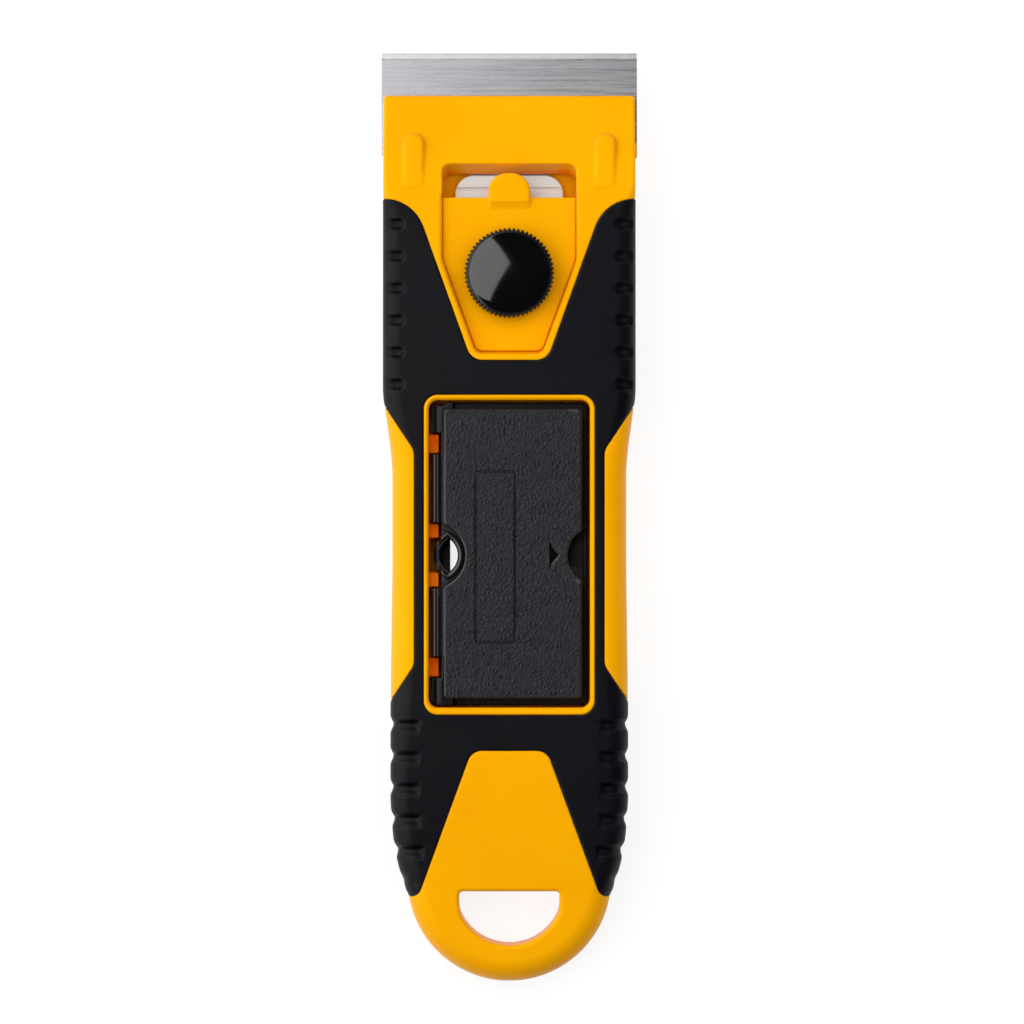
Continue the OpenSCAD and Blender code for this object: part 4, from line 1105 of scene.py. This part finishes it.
satin_yellow = yellow("satin_yellow", [(0.99, 0.41, 0.001), (1.0, 0.44, 0.001)])
# The rubber's lighter convex edges are partly rubbed wear and partly a painted highlight
soft_rubber = plastic("soft_rubber", 0.17, 4.0, 0.6, [(0.0018, 0.0018, 0.0036), (0.0032, 0.0032, 0.0056)],
                      [("Scuffs", 0.25, (0.025, 0.025, 0.028)), ("Edges", 0.5, (0.024, 0.024, 0.029))],
                      (0.46, 0.54), 0, 0.03)
# The case's lighter grey convex edges are partly rubbed wear and partly a painted highlight
grained_black = surface("grained_black", {"Specular IOR Level": 0.4}, "leather_grain",
                        {"Cells": 1.0, "Crease": 0.45}, 0.64, [(0.007, 0.007, 0.0105), (0.014, 0.014, 0.019)],
                        [("Edges", 0.5, (0.08, 0.08, 0.09))], (0.42, 0.5), 0.15, 0.08)
gloss_black = plastic("gloss_black", 0.78, 1.2, 0.6, [(0.0006, 0.0006, 0.001), (0.0012, 0.0012, 0.002)],
                      [], (0.1, 0.15), 0.08, 0.003)
print("plastics:", [made.name for made in (satin_yellow, soft_rubber, grained_black, gloss_black)])


# %% Make the steels
def steel(name, stretch, dark, light, rough, depth_mm, metallic=1.0):
    """Steel with grinding lines along the axis where the stretch is small."""
    stain = tuple(0.6 * v for v in dark)
    return surface(name, {"Metallic": metallic}, "grinding", {"Stretch": stretch}, 0.6, (dark, light),
                   [("Scuffs", 0.3, stain)], (rough - 0.04, rough + 0.04), 0.1, depth_mm)


ACROSS, ALONG = (0.15, 9.0, 9.0), (9.0, 0.15, 9.0)
GROUND = ((0.62, 0.62, 0.65), (0.68, 0.68, 0.71), 0.28, 0.0005)
FINISHES = {
    "yellow_plastic": satin_yellow,
    "grip_rubber": soft_rubber,
    "case_plastic": grained_black,
    "knob_plastic": gloss_black,
    "blade_steel": steel("ground_steel", ACROSS, *GROUND),
    "polished_steel": steel("polished_steel", ACROSS, (0.84, 0.93, 0.94), (0.90, 0.98, 0.98), 0.42, 0.0003,
                            metallic=0.4),
    "zinc_steel": steel("zinc_plate", (3.0, 3.0, 3.0), (0.52, 0.53, 0.55), (0.62, 0.63, 0.65), 0.34, 0.004),
}
spare_steel = steel("ground_steel_turned", ALONG, *GROUND)
print("finishes:", sorted(made.name for made in FINISHES.values()))

# %% Dress every piece
slot_of = {row["node"]: row["material_slot"] for row in frame["record"]["subparts"]}
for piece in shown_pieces():
    wanted = piece["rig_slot"] if "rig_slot" in piece else slot_of[piece["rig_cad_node"]]
    piece.data.materials.clear()
    piece.data.materials.append(spare_steel if piece.name.startswith("stored_blade") else FINISHES[wanted])

# %% [markdown]
# ## Second finishes
#
# Some faces of a piece look unlike the rest of it: the honed bevels of a blade, the glossy arrow and
# the smooth edges of the lid, the dull knurl below the glossy dome and the smooth eye of the case. The
# tray under the eye gets a dull, darker black, whose darkness is painted shade. In the bay and in the
# slot the photo shows a deeper yellow, as where light bounces between yellow walls. The render's own
# bounces fell short of it, so those walls get a deeper, redder yellow as painted shade. A test on each
# face's place and normal picks the faces.

# %% Dress parts of a piece
def second_finish(piece, paint, wanted):
    """One more finish on the faces that a test picks by their middle in millimetres and their normal."""
    piece.data.materials.append(paint)
    for face in piece.data.polygons:
        if wanted(face.center / MM, face.normal):
            face.material_index = len(piece.data.materials) - 1


def on_bevel(middle, normal):
    return 0.9 < abs(normal.z) < 0.9995


def in_arrow(middle, normal):
    share = (middle.x - ARROW_X) / ARROW_W
    return 0 < share < 1 and abs(middle.y - BAY_Y) < ARROW_L / 2 * (1 - share) and middle.z > LID_TOP - 0.9


def off_the_grain(middle, normal):
    return normal.z < 0.9 and not in_arrow(middle, normal) or middle.x < LID_LEFT + 0.3


def in_bay(middle, normal):
    return abs(middle.x) < 19 and BAY_REAR_Y - 0.2 < middle.y < BAY_FRONT_Y + 0.2 and middle.z < GRIP_T - 1.4


def in_slot(middle, normal):
    return abs(middle.x) < SLOT_W + 0.2 and SLOT_Y - 3 < middle.y < SLOT_FRONT_Y + 0.2 and middle.z < 8.8


def on_knurl(middle, normal):
    return math.hypot(middle.x, middle.y - KNOB_Y) > DOME_R


def on_eye(middle, normal):
    return middle.z > CASE_TOP + 0.2


def below_the_eye(middle, normal):
    return middle.z < CASE_TOP + 0.2


honed_steel = steel("honed_steel", (9.0, 0.3, 9.0), (0.92, 0.92, 0.93), (0.98, 0.98, 0.99), 0.4, 0.001)
smooth_black = smooth("smooth_black", 0.8)
# On the knurl this is a dull finish; on the tray under the eye its darker black is painted shade
dull_black_and_tray_shade = smooth("dull_black_and_painted_tray_shade", 0.35)
# Painted shade: deeper, redder yellows for the walls of the bay and the slot
bay_shade_yellow = yellow("yellow_painted_shade_in_bay", [(0.94, 0.105, 0.001), (0.97, 0.12, 0.001)])
slot_shade_yellow = yellow("yellow_painted_shade_in_slot", [(0.97, 0.27, 0.001), (1.0, 0.3, 0.001)])
SECOND_FINISHES = [(blade, honed_steel, on_bevel) for blade in blades] + [
    (grained_lid, gloss_black, in_arrow),
    (grained_lid, smooth_black, off_the_grain),
    (knurled_knob, dull_black_and_tray_shade, on_knurl),
    (case_tray, smooth_black, on_eye),
    # Painted shade: the tray below the eye darkened to black
    (case_tray, dull_black_and_tray_shade, below_the_eye),
    # Painted shade on the walls of the bay and the slot
    (yellow_front, bay_shade_yellow, in_bay),
    (yellow_front, slot_shade_yellow, in_slot),
]
for piece, paint, wanted in SECOND_FINISHES:
    second_finish(piece, paint, wanted)
print("second finishes:", len(SECOND_FINISHES))

# %% [markdown]
# ## Floor, light and camera
#
# The tool lies on its back on a white sweep and the camera looks straight down at it. A large square
# soft box leans over its left side, so left edges are bright, shadows fall to the right and the
# knob's dome mirrors a corner of the box. A smaller panel over the right side only fills shadows and
# leaves no mirror image. The floor shows white to the camera and still keeps the shadow.

# %% Lay the floor
FLOOR_SIZE, FLOOR_Z = 3.0, -0.00005
FLOOR_GREY, GLOW, WHITENESS = 0.8, 1.14, 0.74


def floor():
    half = FLOOR_SIZE / 2
    mesh = bpy.data.meshes.new("floor")
    corners = [(-half, -half, FLOOR_Z), (half, -half, FLOOR_Z), (half, half, FLOOR_Z), (-half, half, FLOOR_Z)]
    mesh.from_pydata(corners, [], [(0, 1, 2, 3)])
    made = bpy.data.objects.new("floor", mesh)
    bpy.context.scene.collection.objects.link(made)
    paint = bpy.data.materials.new("white_sweep")
    paint.use_nodes = True
    tree = paint.node_tree
    tree.nodes.remove(tree.nodes["Principled BSDF"])
    ray = add(tree, "LightPath").outputs
    mirrored_ray = calc(tree, "MAXIMUM", ray["Is Glossy Ray"], ray["Is Transmission Ray"])
    seen = calc(tree, "MAXIMUM", ray["Is Camera Ray"], mirrored_ray)
    plain = add(tree, "BsdfDiffuse", {}, {"Color": (FLOOR_GREY, FLOOR_GREY, FLOOR_GREY, 1)}).outputs[0]
    glow = add(tree, "Emission", {}, {"Color": (1, 1, 1, 1), "Strength": GLOW}).outputs[0]
    mixed = add(tree, "MixShader", {}, {0: calc(tree, "MULTIPLY", seen, WHITENESS), 1: plain, 2: glow})
    tree.links.new(mixed.outputs[0], tree.nodes["Material Output"].inputs["Surface"])
    mesh.materials.append(paint)


floor()

# %% Hang the lights
KEY_AT, KEY_SIZE, KEY_RADIANCE, KEY_ROLL = (-0.57, 0.15, 0.4), 1.4, 1.96, -25
FILL_AT, FILL_SIZE, FILL_RADIANCE = (0.26, 0.10, 0.38), 0.7, 1.15
WORLD_STRENGTH = 0.035


def soft_box(name, at, size, radiance, roll=0.0):
    """A square lamp that faces the object, with its brightness given as seen from there."""
    lamp = bpy.data.lights.new(name, "AREA")
    lamp.shape, lamp.size = "SQUARE", size
    lamp.energy = math.pi * size ** 2 * radiance
    made = bpy.data.objects.new(name, lamp)
    made.location = at
    facing = (-Vector(at)).to_track_quat("-Z", "Y").to_matrix()
    made.rotation_euler = (facing @ Matrix.Rotation(math.radians(roll), 3, "Z")).to_euler()
    made.visible_camera = False
    bpy.context.scene.collection.objects.link(made)
    return made


soft_box("key_light", KEY_AT, KEY_SIZE, KEY_RADIANCE, KEY_ROLL)
fill_light = soft_box("fill_light", FILL_AT, FILL_SIZE, FILL_RADIANCE)
fill_light.visible_glossy = False
world = bpy.data.worlds.new("studio")
bpy.context.scene.world = world
world.use_nodes = True
world.node_tree.nodes["Background"].inputs["Color"].default_value = (1, 1, 1, 1)
world.node_tree.nodes["Background"].inputs["Strength"].default_value = WORLD_STRENGTH

# %% Set up the camera
CAMERA_AT, LENS_MM, SENSOR_MM = (0.000633, 0.00117, 1.3435), 200, 36
camera_data = bpy.data.cameras.new("camera")
camera_data.lens, camera_data.sensor_width = LENS_MM, SENSOR_MM
camera = bpy.data.objects.new("camera", camera_data)
camera.location = CAMERA_AT
bpy.context.scene.collection.objects.link(camera)
bpy.context.scene.camera = camera
bpy.context.scene.view_settings.view_transform = "Standard"
